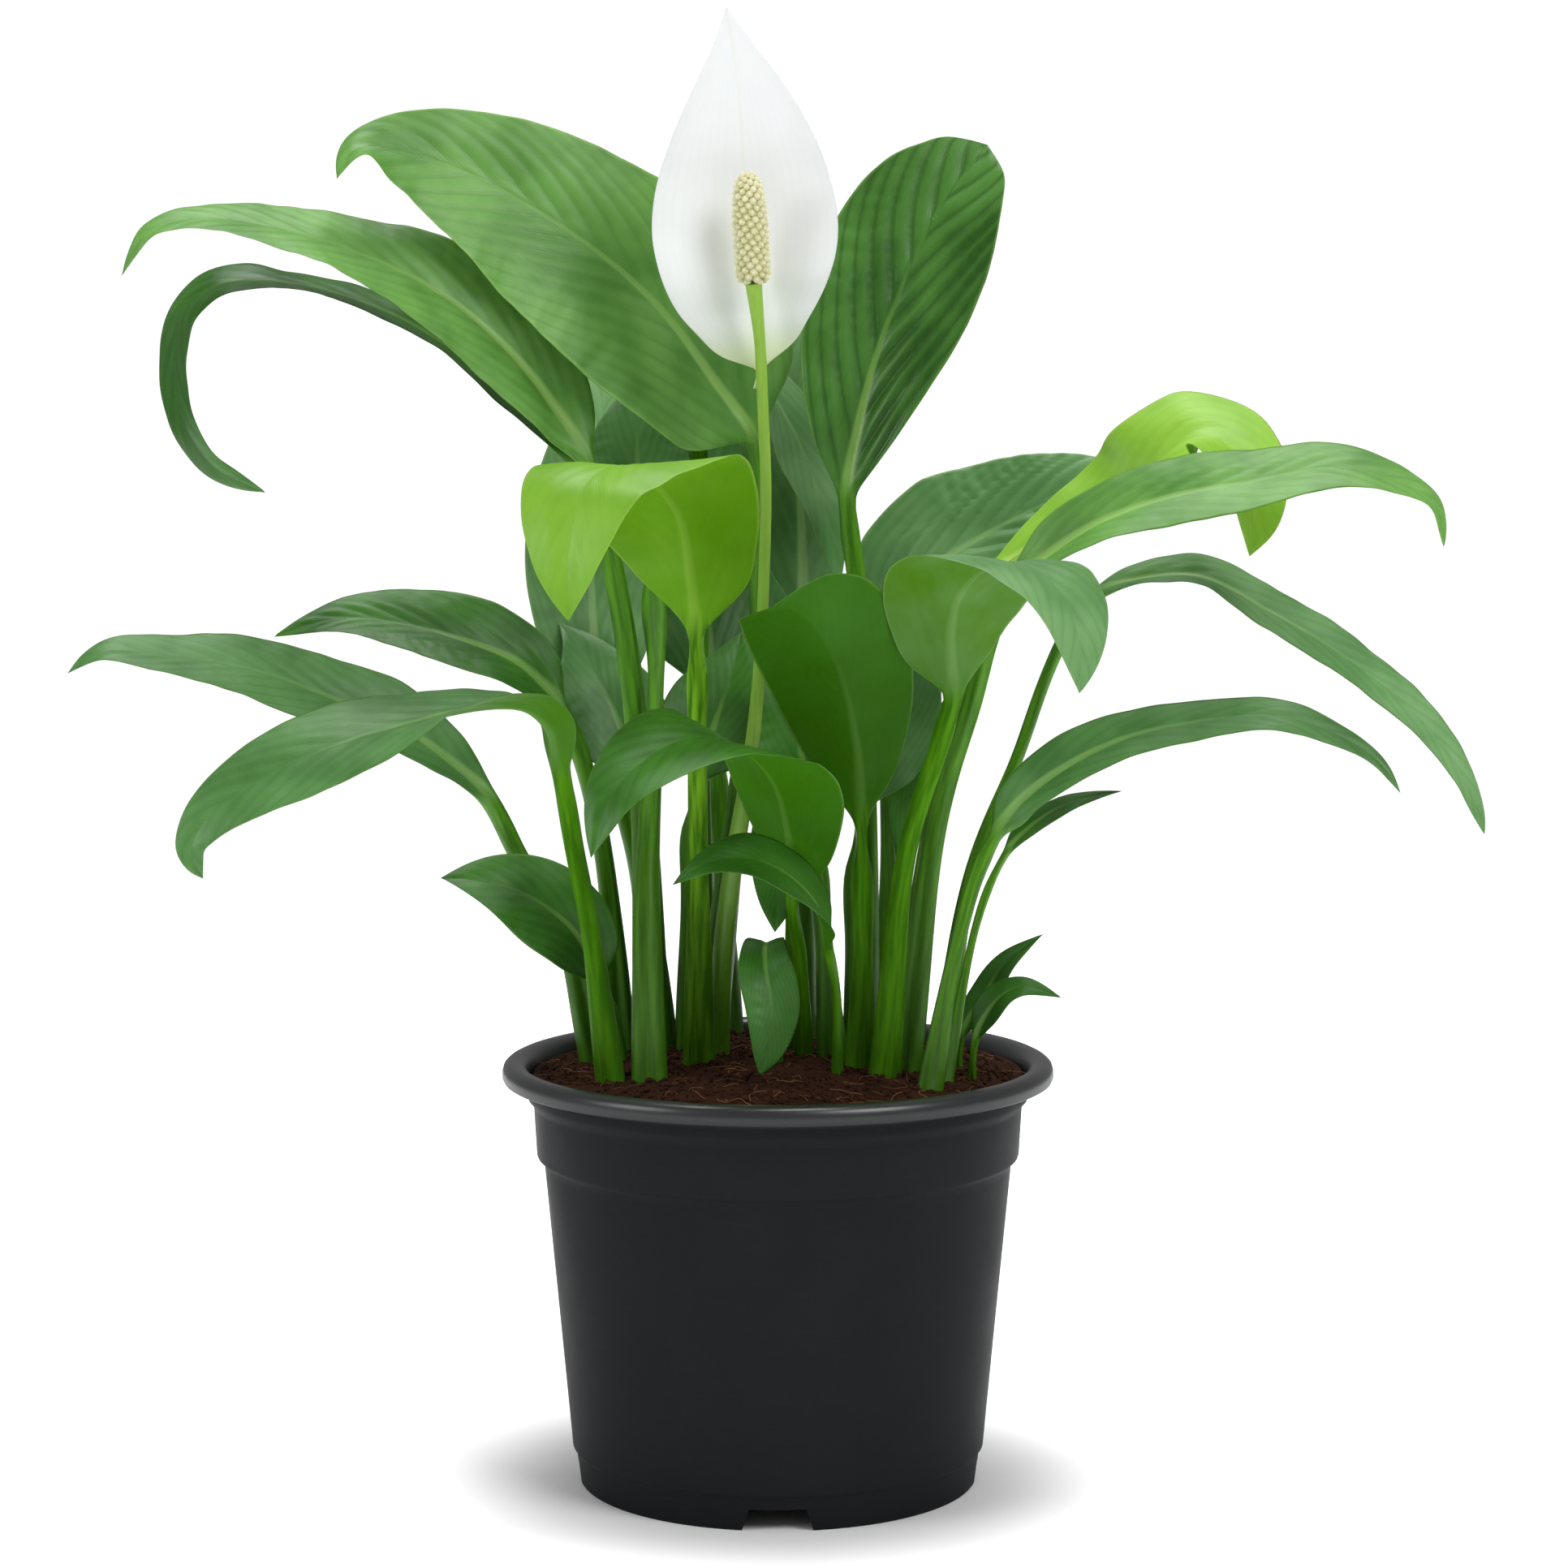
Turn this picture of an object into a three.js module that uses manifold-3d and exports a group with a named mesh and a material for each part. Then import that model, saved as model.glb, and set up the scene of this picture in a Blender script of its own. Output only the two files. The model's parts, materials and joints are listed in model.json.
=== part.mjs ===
// A potted peace lily: one flowering plant in a round plastic nursery pot.
// Units are millimetres and +Z is up. The origin is the centre of the pot's foot, on the ground.
// The plant's leaves, flower and pot are separate closed meshes, each with its own name.
import * as THREE from "three";
import { mergeVertices } from "three/addons/utils/BufferGeometryUtils.js";
import Module from "manifold-3d";

const wasm = await Module();
wasm.setup();

// ---------------------------------------------------------------- driving dimensions

const RIM_RADIUS = 95; // outside of the rolled rim: a 19 cm, 3 litre pot
const POT_HEIGHT = 147;
const FOOT_RADIUS = 68.8; // outside of the wall where it meets the ground
const WALL = 1.8;
const FIT_GAP = 0.4; // clear space between two pieces that touch
const POT_SIDES = 48;
const FLOOR_UNDERSIDE = 8.5; // the pot's floor is raised, so that water can run out
const NOTCH_HEIGHT = 7.5;
const NOTCH_WIDTH = 25; // at the ground
const NOTCH_SLOPE = 3; // how far each side of a notch leans in towards its top
const NOTCH_LENGTH = 20; // of the cut, through the wall
const SOIL_RADIUS = 84.2;
const SOIL_EDGE = POT_HEIGHT - 4.5;
const SOIL_CROWN = POT_HEIGHT + 1;
const STALK_DEPTH = 15; // how far below the rim's level a stalk's foot is buried

// ---------------------------------------------------------------- materials

const paint = (colour, roughness) =>
  new THREE.MeshStandardMaterial({ color: colour, roughness, metalness: 0 });

const MATERIALS = {
  pot: paint(0x2b2c2e, 0.55),
  soil: paint(0x35201a, 0.95),
  mature: paint(0x3f7a35, 0.42),
  mid: paint(0x5a9646, 0.42),
  young: paint(0x7db52c, 0.4),
  stalk: paint(0x86b833, 0.45),
  spathe: paint(0xf1f3f1, 0.5),
  spadix: paint(0xe9e6c4, 0.7),
};

// ---------------------------------------------------------------- geometry helpers

function meshOf(name, geometry, material) {
  const mesh = new THREE.Mesh(geometry, material);
  mesh.name = name;
  return mesh;
}

function solidOf(geometry) {
  const bare = new THREE.BufferGeometry();
  bare.setAttribute("position", geometry.getAttribute("position"));
  if (geometry.index) bare.setIndex(geometry.index);
  const merged = mergeVertices(bare, 1e-4);
  return new wasm.Manifold(
    new wasm.Mesh({
      numProp: 3,
      vertProperties: new Float32Array(merged.attributes.position.array),
      triVerts: new Uint32Array(merged.index.array),
    }),
  );
}

function geometryOf(solid) {
  const mesh = solid.getMesh();
  const geometry = new THREE.BufferGeometry();
  geometry.setAttribute(
    "position",
    new THREE.BufferAttribute(new Float32Array(mesh.vertProperties), 3),
  );
  geometry.setIndex(new THREE.BufferAttribute(new Uint32Array(mesh.triVerts), 1));
  return geometry;
}

// A lathe about +Z. The outline is a list of [radius, height] and goes counter-clockwise.
function turned(outline, sides = POT_SIDES) {
  const points = outline.map(([radius, height]) => new THREE.Vector2(radius, height));
  return new THREE.LatheGeometry(points, sides).rotateX(Math.PI / 2);
}

const smoothstep = (from, to, value) => THREE.MathUtils.smoothstep(value, from, to);
const radiansOf = (degrees) => (degrees * Math.PI) / 180;

// ---------------------------------------------------------------- skin of a leaf or stalk

const SPAN_STEPS = 2; // rings for each span between two points of a leaf's line
const GENICULUM = 0.1; // share of the blade in which the round stalk flattens out into it
const SHEATH_WIDEN = 0.9; // how much wider a stalk is at its sheathed foot, from edge to edge
const SHEATH_THICKEN = 0.45; // and how much thicker, from front to back
const SHEATH_SHARE = 0.6; // share of the stalk that the sheath takes
const RIB_TAPER = 0.55; // how much of the stalk's radius is gone at the blade's tip
const BLADE_THICKNESS = 0.8;
const RIB_THICKNESS = [1.5, 0.5]; // of the midrib, from the blade's base to its tip

// Eight points go round each ring, from the left edge over the upper side to the right edge and
// back underneath. Across is the share of the half width, angle the place on a round stalk.
const RING = [
  { across: -1, angle: 180, skin: 0 },
  { across: -0.5, angle: 135, skin: 1 },
  { across: 0, angle: 90, skin: 1 },
  { across: 0.5, angle: 45, skin: 1 },
  { across: 1, angle: 0, skin: 0 },
  { across: 0.5, angle: -45, skin: -1 },
  { across: 0, angle: -90, skin: -1 },
  { across: -0.5, angle: -135, skin: -1 },
];

// A closed skin over a list of rings of eight points, with a flat foot and a pointed tip.
// The under side's diagonals lie below the upper side's, so a twisted blade keeps its thickness.
function skin(rings, foot, tip) {
  const around = RING.length;
  const position = [...rings.flat(), foot, tip].flatMap((point) => point.toArray());
  const footIndex = rings.length * around;
  const tipIndex = footIndex + 1;
  const index = [];
  for (let i = 0; i < around; i++) {
    const next = (i + 1) % around;
    index.push(footIndex, next, i);
    for (let ring = 0; ring + 1 < rings.length; ring++) {
      const low = ring * around;
      const high = low + around;
      if (i < around / 2) {
        index.push(low + i, low + next, high + next);
        index.push(low + i, high + next, high + i);
      } else {
        index.push(low + i, low + next, high + i);
        index.push(low + next, high + next, high + i);
      }
    }
    const last = (rings.length - 1) * around;
    index.push(last + i, last + next, tipIndex);
  }
  const geometry = new THREE.BufferGeometry();
  geometry.setAttribute("position", new THREE.Float32BufferAttribute(position, 3));
  geometry.setIndex(index);
  return geometry;
}

// The half width along a blade, as a share of its widest: rounded at the base, drawn out at the tip.
function outlineShare(along, { rise = 0.72, fall = 1.2 }) {
  const peak = rise / (rise + fall);
  return Math.pow(along / peak, rise) * Math.pow((1 - along) / (1 - peak), fall);
}

const mix = (list, share) => {
  const place = THREE.MathUtils.clamp(share, 0, 1) * (list.length - 1);
  const low = Math.min(Math.floor(place), list.length - 2);
  return { from: list[low], to: list[low + 1], share: place - low };
};

const mixNumber = (list, share) => {
  const { from, to, share: t } = mix(list, share);
  return THREE.MathUtils.lerp(from, to, t);
};

const mixVector = (list, share) => {
  const { from, to, share: t } = mix(list, share);
  return new THREE.Vector3(...from).lerp(new THREE.Vector3(...to), t);
};

// Where each ring of a leaf goes: its centre, its direction and how far along the blade it is.
function stationsOf(plan) {
  const stalk = plan.stalk.map(([x, y, h = -STALK_DEPTH]) => [x, y, h + POT_HEIGHT]);
  const blade = plan.blade.map(([x, y, h]) => [x, y, h + POT_HEIGHT]);
  const points = [...stalk, ...blade].map((p) => new THREE.Vector3(...p));
  const curve = new THREE.CatmullRomCurve3(points);
  const spans = points.length - 1;
  const places = [];
  for (let span = 0; span < spans; span++) {
    for (let step = 0; step < SPAN_STEPS; step++) places.push((span + step / SPAN_STEPS) / spans);
  }
  places.push(1);
  const start = stalk.length / spans;
  const stations = places.map((u) => ({
    u,
    at: curve.getPoint(u),
    heading: curve.getTangent(u),
  }));
  let run = 0;
  stations.forEach((station, i) => {
    if (i) run += station.at.distanceTo(stations[i - 1].at);
    station.run = run;
  });
  const bladeStart = stations.find((station) => station.u >= start - 1e-9).run;
  for (const station of stations) {
    station.along = (station.run - bladeStart) / (run - bladeStart);
    station.up = station.run / Math.max(bladeStart, 1);
  }
  return stations;
}

// The half thickness of a blade at a ring point, by its place across.
const halfThickness = (across, ribThickness) => (across ? BLADE_THICKNESS : ribThickness) / 2;

function ringAt(station, plan, grow = 0) {
  const { at, heading, along } = station;
  const along01 = Math.max(along, 0);
  const face = mixVector(plan.face, along01);
  const normal = face.addScaledVector(heading, -face.dot(heading)).normalize();
  const side = new THREE.Vector3().crossVectors(heading, normal);
  const sheath = 1 - smoothstep(0, SHEATH_SHARE, station.up);
  const slim = plan.stalkRadius * (1 - RIB_TAPER * along01);
  const stalkWide = slim * (1 + SHEATH_WIDEN * sheath);
  const stalkThick = slim * (1 + SHEATH_THICKEN * sheath);
  const bladeHalf = along > 0 ? (plan.width / 2) * outlineShare(along, plan) : 0;
  const halfWidth = Math.hypot(stalkWide, bladeHalf);
  const flat = smoothstep(0, GENICULUM, along);
  const fold = mixNumber(plan.fold, along01);
  const arch = mixNumber(plan.arch, along01);
  const ribThickness = mixNumber(RIB_THICKNESS, along01);
  return RING.map(({ across, angle, skin: layer }) => {
    const radians = radiansOf(angle);
    const roundX = Math.cos(radians) * (halfWidth + grow);
    const roundY = Math.sin(radians) * (stalkThick + grow);
    const sheet = halfWidth * (fold * Math.abs(across) - arch * across * across);
    const half = halfThickness(across, ribThickness);
    const flatX = across * halfWidth * (1 + plan.skew * Math.sign(across));
    const x = THREE.MathUtils.lerp(roundX, flatX, flat);
    const y = THREE.MathUtils.lerp(roundY, sheet + layer * half, flat);
    return at.clone().addScaledVector(side, x).addScaledVector(normal, y);
  });
}

function leafGeometry(plan) {
  const stations = stationsOf(plan);
  const tip = stations.pop();
  const rings = stations.map((station) => ringAt(station, plan));
  return skin(rings, stations[0].at, tip.at);
}

const SOCKET_GAP = FIT_GAP + 0.1; // the soil keeps this far from a stalk's sides
const SOCKET_TOP = SOIL_CROWN + 4;
const SOCKET_POINT = 1; // height of the small point that closes a socket at its top

// The hole that a stalk fills in the soil: its first rings, a little larger, up to above the soil.
function socketGeometry(plan) {
  const stations = stationsOf(plan);
  const foot = stations[0];
  foot.at.addScaledVector(foot.heading, -FIT_GAP);
  const count = stations.findIndex((station) => station.at.z > SOCKET_TOP) + 1;
  const rings = stations.slice(0, count).map((station) => ringAt(station, plan, SOCKET_GAP));
  const above = stations[count - 1];
  return skin(rings, foot.at, above.at.clone().addScaledVector(above.heading, SOCKET_POINT));
}

// ---------------------------------------------------------------- leaves

// Each leaf is one piece: its stalk from the soil and its blade, along one line of hand-placed
// points [x, y, height above the pot's rim]. Face is where the upper side looks, from the base
// of the blade to its tip; fold lifts both edges into a trough, and arch lets them droop.
const LEAF = {
  stalkRadius: 3.3, rise: 0.72, fall: 1.15, skew: 0, fold: [0.5, 0.15, 0.1], arch: [0, 0.05, 0],
};

const LEAVES = {
  leaf_left_top_broad: {
    tone: "mid", width: 74, rise: 0.5, fall: 0.92, skew: -0.06,
    stalk: [[-26, 42], [-15, 45, 81], [-7, 44, 150], [-7, 39, 190]],
    blade: [[-9, 35, 212], [-22, 29, 233], [-44, 23, 261], [-75, 17, 286], [-105, 10, 303],
      [-127, 3, 310],
      [-142, -4, 310], [-148, -9, 300]],
    face: [[0.3, -1, 0.3], [0.1, -1, 0.4], [0, -1, 0.5], [-0.8, -0.8, 0.4]],
  },
  leaf_left_upper_long: {
    tone: "mid", width: 41, rise: 0.66,
    stalk: [[-44, 0], [-47, 4, 85], [-54, 8, 152], [-61, 9, 185]],
    blade: [[-66, 8, 206], [-76, 8, 223], [-93, 5, 244], [-114, 1, 262], [-140, -6, 275],
      [-168, -13, 283],
      [-195, -19, 286], [-210, -23, 281], [-218, -26, 267]],
    face: [[0.3, -0.9, 0.5], [0.1, -0.8, 0.7], [0, -0.6, 1], [-0.5, -0.6, 0.6]],
  },
  leaf_left_strap_hooked: {
    tone: "mature", width: 22, rise: 0.45, fall: 0.6,
    stalk: [[-43.5, 22], [-47, 26, 94], [-55, 30, 157]],
    blade: [[-69, 27, 203], [-96, 22, 230], [-121, 18, 249], [-144, 12, 260], [-168, 6, 266],
      [-190, 2, 265],
      [-201, 0, 256], [-204, -2, 240], [-201, -5, 219], [-191, -8, 204], [-173, -11, 195]],
    face: [[0.2, -0.8, 0.5], [0, -0.5, 1], [-0.4, -0.4, 1], [-1, -0.8, 0.1], [-0.6, -0.9, -0.6]],
  },
  leaf_right_top_upright: {
    tone: "mature", width: 58, rise: 0.85, fall: 0.6, skew: -0.04,
    stalk: [[29, 18], [31, 24, 83], [29, 28, 151], [26, 28, 174]],
    blade: [[24, 26, 193], [27, 26, 213], [34, 29, 241], [43, 32, 265], [54, 36, 289], [66, 40, 306],
      [73, 43, 315]],
    face: [[-0.2, -1, 0.1], [-0.15, -1, 0.2], [-0.1, -1, 0.5]], fold: [0.5, 0.28, 0.2],
  },
  leaf_back_upright: {
    tone: "mid", width: 40,
    stalk: [[8, 54], [9, 60, 80], [9, 64, 122]],
    blade: [[9, 66, 150], [8, 70, 188], [5, 76, 222], [2, 86, 250], [-2, 100, 272], [-6, 116, 282]],
    face: [[0, -1, 0.2], [0, -1, 0.4], [0, -0.4, 1]],
  },
  leaf_back_arching: {
    tone: "mature", width: 34, rise: 0.8, fall: 1,
    stalk: [[-28, 54], [-28, 58, 109], [-28, 58, 196]],
    blade: [[-28, 54, 222], [-25, 53, 236], [-17, 54, 241], [-6, 54, 233], [7, 51, 212],
      [17, 46, 186], [22, 45, 160]],
    face: [[0.4, 0.9, 0.3], [0.6, -0.3, 1], [0.7, -0.8, 0.5], [0.8, -0.7, 0.4]],
  },
  leaf_left_lime_folded: {
    tone: "young", width: 57, rise: 0.6, fall: 0.85,
    stalk: [[-27, -6], [-27, -20, 74], [-27, -30, 122]],
    blade: [[-27, -36, 150], [-29, -45, 171], [-32, -58, 188], [-41, -75, 201], [-52, -90, 205],
      [-61, -103, 198],
      [-65, -111, 179], [-65, -114, 157]],
    face: [[0.35, 0.9, 0.4], [-0.4, 0.35, 0.9], [-0.3, -0.7, 0.8],
      [-0.5, -1, 0.2]], fold: [0.5, 0.1, 0.2],
    arch: [0, 0.25, 0],
  },
  leaf_left_mid_short: {
    tone: "mature", width: 34,
    stalk: [[-55, 30], [-61, 40, 60], [-69, 44, 98]],
    blade: [[-78, 46, 119], [-91, 44, 133], [-110, 40, 142], [-131, 37, 148], [-153, 33, 150],
      [-176, 29, 144]],
    face: [[0.1, -0.8, 0.7], [0, -0.7, 0.8], [0, -0.7, 0.8]], fold: [0.4, 0.25, 0.15],
  },
  leaf_left_low_long: {
    tone: "mature", width: 32, rise: 0.85, fall: 0.95,
    stalk: [[-61, 12], [-76, 16, 45], [-90, 16, 68]],
    blade: [[-100, 14, 88], [-112, 9, 101], [-130, 2, 115], [-154, -6, 126], [-178, -13, 135],
      [-204, -19, 140],
      [-227, -24, 142], [-238, -27, 135]],
    face: [[0.2, -0.8, 0.6], [0, -0.75, 0.8], [0, -0.6, 0.8], [-0.5, -0.6, 0.8]],
  },
  leaf_left_front_drooping: {
    tone: "mid", width: 36, fall: 0.85,
    stalk: [[-55, -30], [-63, -27, 47], [-69, -22, 77]],
    blade: [[-73, -24, 102], [-76, -29, 115], [-84, -36, 124], [-100, -43, 125], [-122, -51, 120],
      [-148, -58, 112],
      [-171, -63, 101], [-186, -67, 90], [-191, -69, 80], [-187, -70, 71]],
    face: [[0.5, 0.6, 0.6], [0.1, -0.1, 1], [-0.1, -0.9, 0.7], [-0.3, -1, 0.4]],
  },
  leaf_left_low_small: {
    tone: "mature", width: 31, rise: 0.8, fall: 1, stalkRadius: 2.2,
    stalk: [[-54, 4], [-56, 3, 10]],
    blade: [[-61, 1, 26], [-69, -2, 43], [-82, -5, 55], [-98, -8, 62], [-115, -11, 64]],
    face: [[0.1, -1, 0.4], [0, -1, 0.5], [0, -0.8, 0.8]],
  },
  leaf_front_centre_folded: {
    tone: "mature", width: 44, rise: 0.72, fall: 0.9, stalkRadius: 2.4,
    stalk: [[9, 9], [8, -6, 30]],
    blade: [[5, -20, 57], [4, -36, 78], [-1, -56, 101], [-11, -76, 114], [-25, -94, 119],
      [-40, -108, 114],
      [-52, -118, 102], [-58, -124, 84]],
    face: [[0.3, 0.9, 0.3], [0.2, 0.1, 1], [-0.1, -0.7, 1], [-0.5, -1, 0.3]],
  },
  leaf_front_small_arching: {
    tone: "mature", width: 26, stalkRadius: 1.7,
    stalk: [[20, -24], [20, -30, 24]],
    blade: [[17, -37, 44], [12, -45, 59], [2, -55, 71], [-10, -64, 77], [-23, -72, 76], [-34, -79, 70]],
    face: [[0.7, -0.3, 0.7], [0.3, -0.6, 0.8], [-0.2, -0.7, 0.8]],
  },
  leaf_front_hanging: {
    tone: "mature", width: 19, rise: 0.8, fall: 0.8, stalkRadius: 1.5,
    stalk: [[0, -8], [-1, -15, 26]],
    blade: [[-2, -23, 40], [-4, -32, 44], [-4, -40, 37], [-2, -45, 25], [-3, -49, 13], [-6, -52, 3]],
    face: [[0, 0.5, 1], [-0.2, -0.7, 1], [0.3, -1, 0.4], [0.4, -1, 0.1]],
  },
  leaf_front_dark_hanging: {
    tone: "mature", width: 20, rise: 0.8, fall: 0.9, stalkRadius: 1.8,
    stalk: [[4, 22], [4, 14, 60]],
    blade: [[3, 8, 82], [2, -1, 87], [1, -8, 78], [0, -12, 62], [-1, -16, 46]],
    face: [[0, 0.5, 1], [-0.2, -0.7, 1], [0.1, -1, 0.3], [0.1, -1, 0.1]],
  },
  leaf_front_right_upright: {
    tone: "mature", width: 50, rise: 0.62, fall: 0.5,
    stalk: [[28, -14], [29, -16, 46]],
    blade: [[28, -18, 86], [27, -24, 106], [24, -32, 124], [19, -43, 140], [12, -56, 152],
      [4, -70, 159], [-2, -84, 160]],
    face: [[-0.1, 1, 0.2], [-0.1, 0.9, 0.5], [-0.3, 0.4, 0.9]], fold: [0.6, 0.3, 0.2],
  },
  leaf_right_back_broad: {
    tone: "mature", width: 56, rise: 0.6,
    stalk: [[38, 42], [40, 50, 66], [39, 54, 120]],
    blade: [[40, 54, 148], [52, 52, 165], [72, 50, 178], [95, 49, 190], [118, 50, 197], [136, 53, 195]],
    face: [[-0.4, -0.9, 0.4], [-0.3, -0.9, 0.5], [0, -0.8, 0.7]],
  },
  leaf_right_lime_folded: {
    tone: "young", width: 41, rise: 1.1, fall: 0.8,
    stalk: [[42, 2], [53, 2, 80], [64, 0, 128]],
    blade: [[71, 0, 163], [92, -3, 180], [118, -4, 195], [137, -6, 211], [147, -9, 213],
      [156, -18, 203],
      [159, -21, 190], [158, -24, 174]],
    face: [[-0.3, -0.4, 1], [-0.3, -0.6, 1], [0.4, -0.7, 0.8], [0.9, -1, 0.2]], fold: [0.5, 0.3, 0.3],
  },
  leaf_right_long: {
    tone: "mid", width: 29, fall: 0.95,
    stalk: [[42, -16], [54, -16, 82], [66, -19, 126]],
    blade: [[77, -24, 161], [102, -32, 183], [130, -37, 194], [156, -40, 199], [183, -43, 204],
      [202, -45, 200],
      [216, -46, 192], [219, -47, 178]],
    face: [[-0.2, -0.6, 0.8], [0, -0.8, 0.8], [0, -0.7, 0.8], [0.7, -0.6, 0.6]],
  },
  leaf_right_front_folded: {
    tone: "mid", width: 52, rise: 0.66, fall: 0.9,
    stalk: [[35, -30], [44, -30, 78], [54, -34, 111]],
    blade: [[58, -38, 129], [57, -46, 147], [59, -58, 162], [68, -72, 173], [81, -86, 173],
      [91, -96, 163],
      [95, -102, 149], [95, -105, 134]],
    face: [[-0.2, 0.9, 0.4], [0.1, 0.2, 1], [0.5, -0.6, 0.8], [0.7, -0.8, 0.2]], arch: [0, 0.2, 0],
  },
  leaf_right_drooping: {
    tone: "mid", width: 21, rise: 0.6, fall: 0.7, stalkRadius: 2.2,
    stalk: [[53, -12], [68, 4, 68], [82, 12, 101], [97, 14, 141]],
    blade: [[108, 12, 158], [123, 8, 165], [145, 3, 166], [166, -3, 155], [188, -8, 142], [210, -12, 126],
      [225, -15, 110], [234, -18, 95], [239, -20, 80]],
    face: [[0, -0.6, 0.8], [0, -0.6, 1], [0.4, -0.8, 0.8], [0.7, -0.9, 0.4]],
  },
  leaf_right_low_strap: {
    tone: "mature", width: 20, rise: 0.42, fall: 0.8, stalkRadius: 2.6,
    stalk: [[49, -44], [59, -37, 40], [67, -28, 67]],
    blade: [[74, -24, 81], [82, -24, 92], [96, -26, 103], [116, -29, 113], [141, -32, 119],
      [167, -35, 121],
      [184, -37, 116], [199, -39, 107], [207, -41, 96]],
    face: [[-0.3, -0.9, 0.3], [-0.1, -0.8, 0.8], [0.1, -0.7, 0.9], [0.6, -0.7, 0.5]],
  },
  leaf_right_low_small: {
    tone: "mature", width: 9, stalkRadius: 1.4,
    stalk: [[55, -32], [68, -18, 51]],
    blade: [[78, -12, 73], [88, -10, 83], [100, -11, 90], [117, -13, 94]],
    face: [[0, -0.7, 0.8], [0, -0.7, 0.8]],
  },
  leaf_shoot_upper: {
    tone: "mature", width: 10, stalkRadius: 1.5,
    stalk: [[62, -6]],
    blade: [[63, -9, 9], [70, -12, 23], [78, -16, 36], [90, -20, 46]],
    face: [[-0.4, -0.9, 0.4], [0, -0.8, 0.6]],
  },
  leaf_shoot_lower: {
    tone: "mature", width: 11, stalkRadius: 1.5,
    stalk: [[66, -20]],
    blade: [[67, -26, 11], [75, -31, 26], [83, -35, 30], [95, -39, 27]],
    face: [[-0.3, -0.9, 0.5], [0, -0.7, 0.8]],
  },
  leaf_back_left_broad: {
    tone: "mature", width: 48,
    stalk: [[-41, 58], [-52, 64, 65]],
    blade: [[-63, 70, 112], [-67, 78, 145], [-68, 88, 178], [-66, 100, 210], [-63, 112, 236],
      [-59, 126, 252]],
    face: [[0.1, -1, 0.2], [0.1, -1, 0.4], [0, -0.3, 1]],
  },
  leaf_back_left_low: {
    tone: "mature", width: 36,
    stalk: [[-40, 36], [-46, 40, 58]],
    blade: [[-50, 52, 90], [-57, 58, 111], [-65, 61, 128], [-72, 67, 140], [-79, 71, 147]],
    face: [[0.1, -1, 0.3], [0, -0.8, 0.8], [0, -0.4, 1]],
  },
  leaf_back_centre_broad: {
    tone: "mature", width: 64,
    stalk: [[-18, 68], [-21, 80, 62]],
    blade: [[-24, 88, 120], [-27, 94, 158], [-29, 102, 194], [-31, 112, 226], [-33, 125, 248]],
    face: [[0, -1, 0.2], [0, -1, 0.4], [0, -0.3, 1]],
  },
  leaf_back_centre_low: {
    tone: "mature", width: 38,
    stalk: [[-30.5, 24], [-31, 26, 60]],
    blade: [[-28, 29, 94], [-22, 33, 114], [-16, 38, 131], [-13, 45, 145]],
    face: [[0.1, -1, 0.3], [0, -0.8, 0.8]],
  },
  leaf_back_right_low: {
    tone: "mature", width: 36,
    stalk: [[20, 1], [15, 3, 50]],
    blade: [[12, 8, 82], [8, 11, 105], [5, 14, 126], [3, 19, 142]],
    face: [[0, -1, 0.3], [0, -0.9, 0.5]],
  },
  leaf_back_right_narrow: {
    tone: "mature", width: 17, stalkRadius: 1.9,
    stalk: [[40, 20], [41, 28, 40]],
    blade: [[43, 32, 66], [49, 35, 88], [55, 38, 108], [61, 41, 124]],
    face: [[0, -1, 0.3], [0, -0.9, 0.5]],
  },
  leaf_right_centre_flap: {
    tone: "mid", width: 40,
    stalk: [[29.5, 8], [26.5, 13, 42]],
    blade: [[29, 18, 86], [34, 19, 108], [39, 17, 128], [40, 12, 146], [36, 6, 160]],
    face: [[0, -1, 0.3], [0, -0.9, 0.5]],
  },
  leaf_left_back_short: {
    tone: "mature", width: 38,
    stalk: [[-43, -34], [-44, -24, 65], [-42, 10, 140]],
    blade: [[-46, 38, 178], [-49, 46, 196], [-50, 54, 216], [-49, 64, 236]],
    face: [[0, -1, 0.3], [0, -0.9, 0.5]],
  },
};

for (const plan of Object.values(LEAVES)) {
  for (const key of Object.keys(LEAF)) plan[key] ??= LEAF[key];
}

// ---------------------------------------------------------------- flower

// The flower's stalk is round and stands on its own among the leaves' stalks.
const FLOWER_STALK_LINE = [
  [-21, 10], [-19, -6, 36], [-15, -12, 70], [-10, -16, 100], [-7, -18, 126], [-5, -18, 159],
  [-4, -19, 197], [-5, -21, 224], [-6, -23, 246],
];
const FLOWER_STALK_FOOT_RADIUS = 3.8;
const FLOWER_STALK_THIN = 1.9; // taken off the radius on the way up
const FLOWER_STALK_SWELL = 0.9; // added again just under the spadix
const SPADIX_FOOT = new THREE.Vector3(-8, -25, 265 + POT_HEIGHT);
const SPADIX_TIP = new THREE.Vector3(-10, -28, 301 + POT_HEIGHT);
const SPADIX_RADIUS = 6;
const SPADIX_TAPER = 0.06; // share of the radius that is missing at the spadix's foot

function flowerStalkRings() {
  const points = FLOWER_STALK_LINE.map(
    ([x, y, h = -STALK_DEPTH]) => new THREE.Vector3(x, y, h + POT_HEIGHT),
  );
  points.push(SPADIX_FOOT.clone().add(new THREE.Vector3(0, 0, -FIT_GAP)));
  const curve = new THREE.CatmullRomCurve3(points);
  const count = (points.length - 1) * SPAN_STEPS;
  const rings = [];
  for (let i = 0; i <= count; i++) {
    const u = i / count;
    const thin = FLOWER_STALK_THIN * smoothstep(0, 0.6, u);
    const swell = FLOWER_STALK_SWELL * smoothstep(0.9, 1, u);
    const radius = FLOWER_STALK_FOOT_RADIUS - thin + swell;
    rings.push({ at: curve.getPoint(u), heading: curve.getTangent(u), radius });
  }
  return rings;
}

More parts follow.
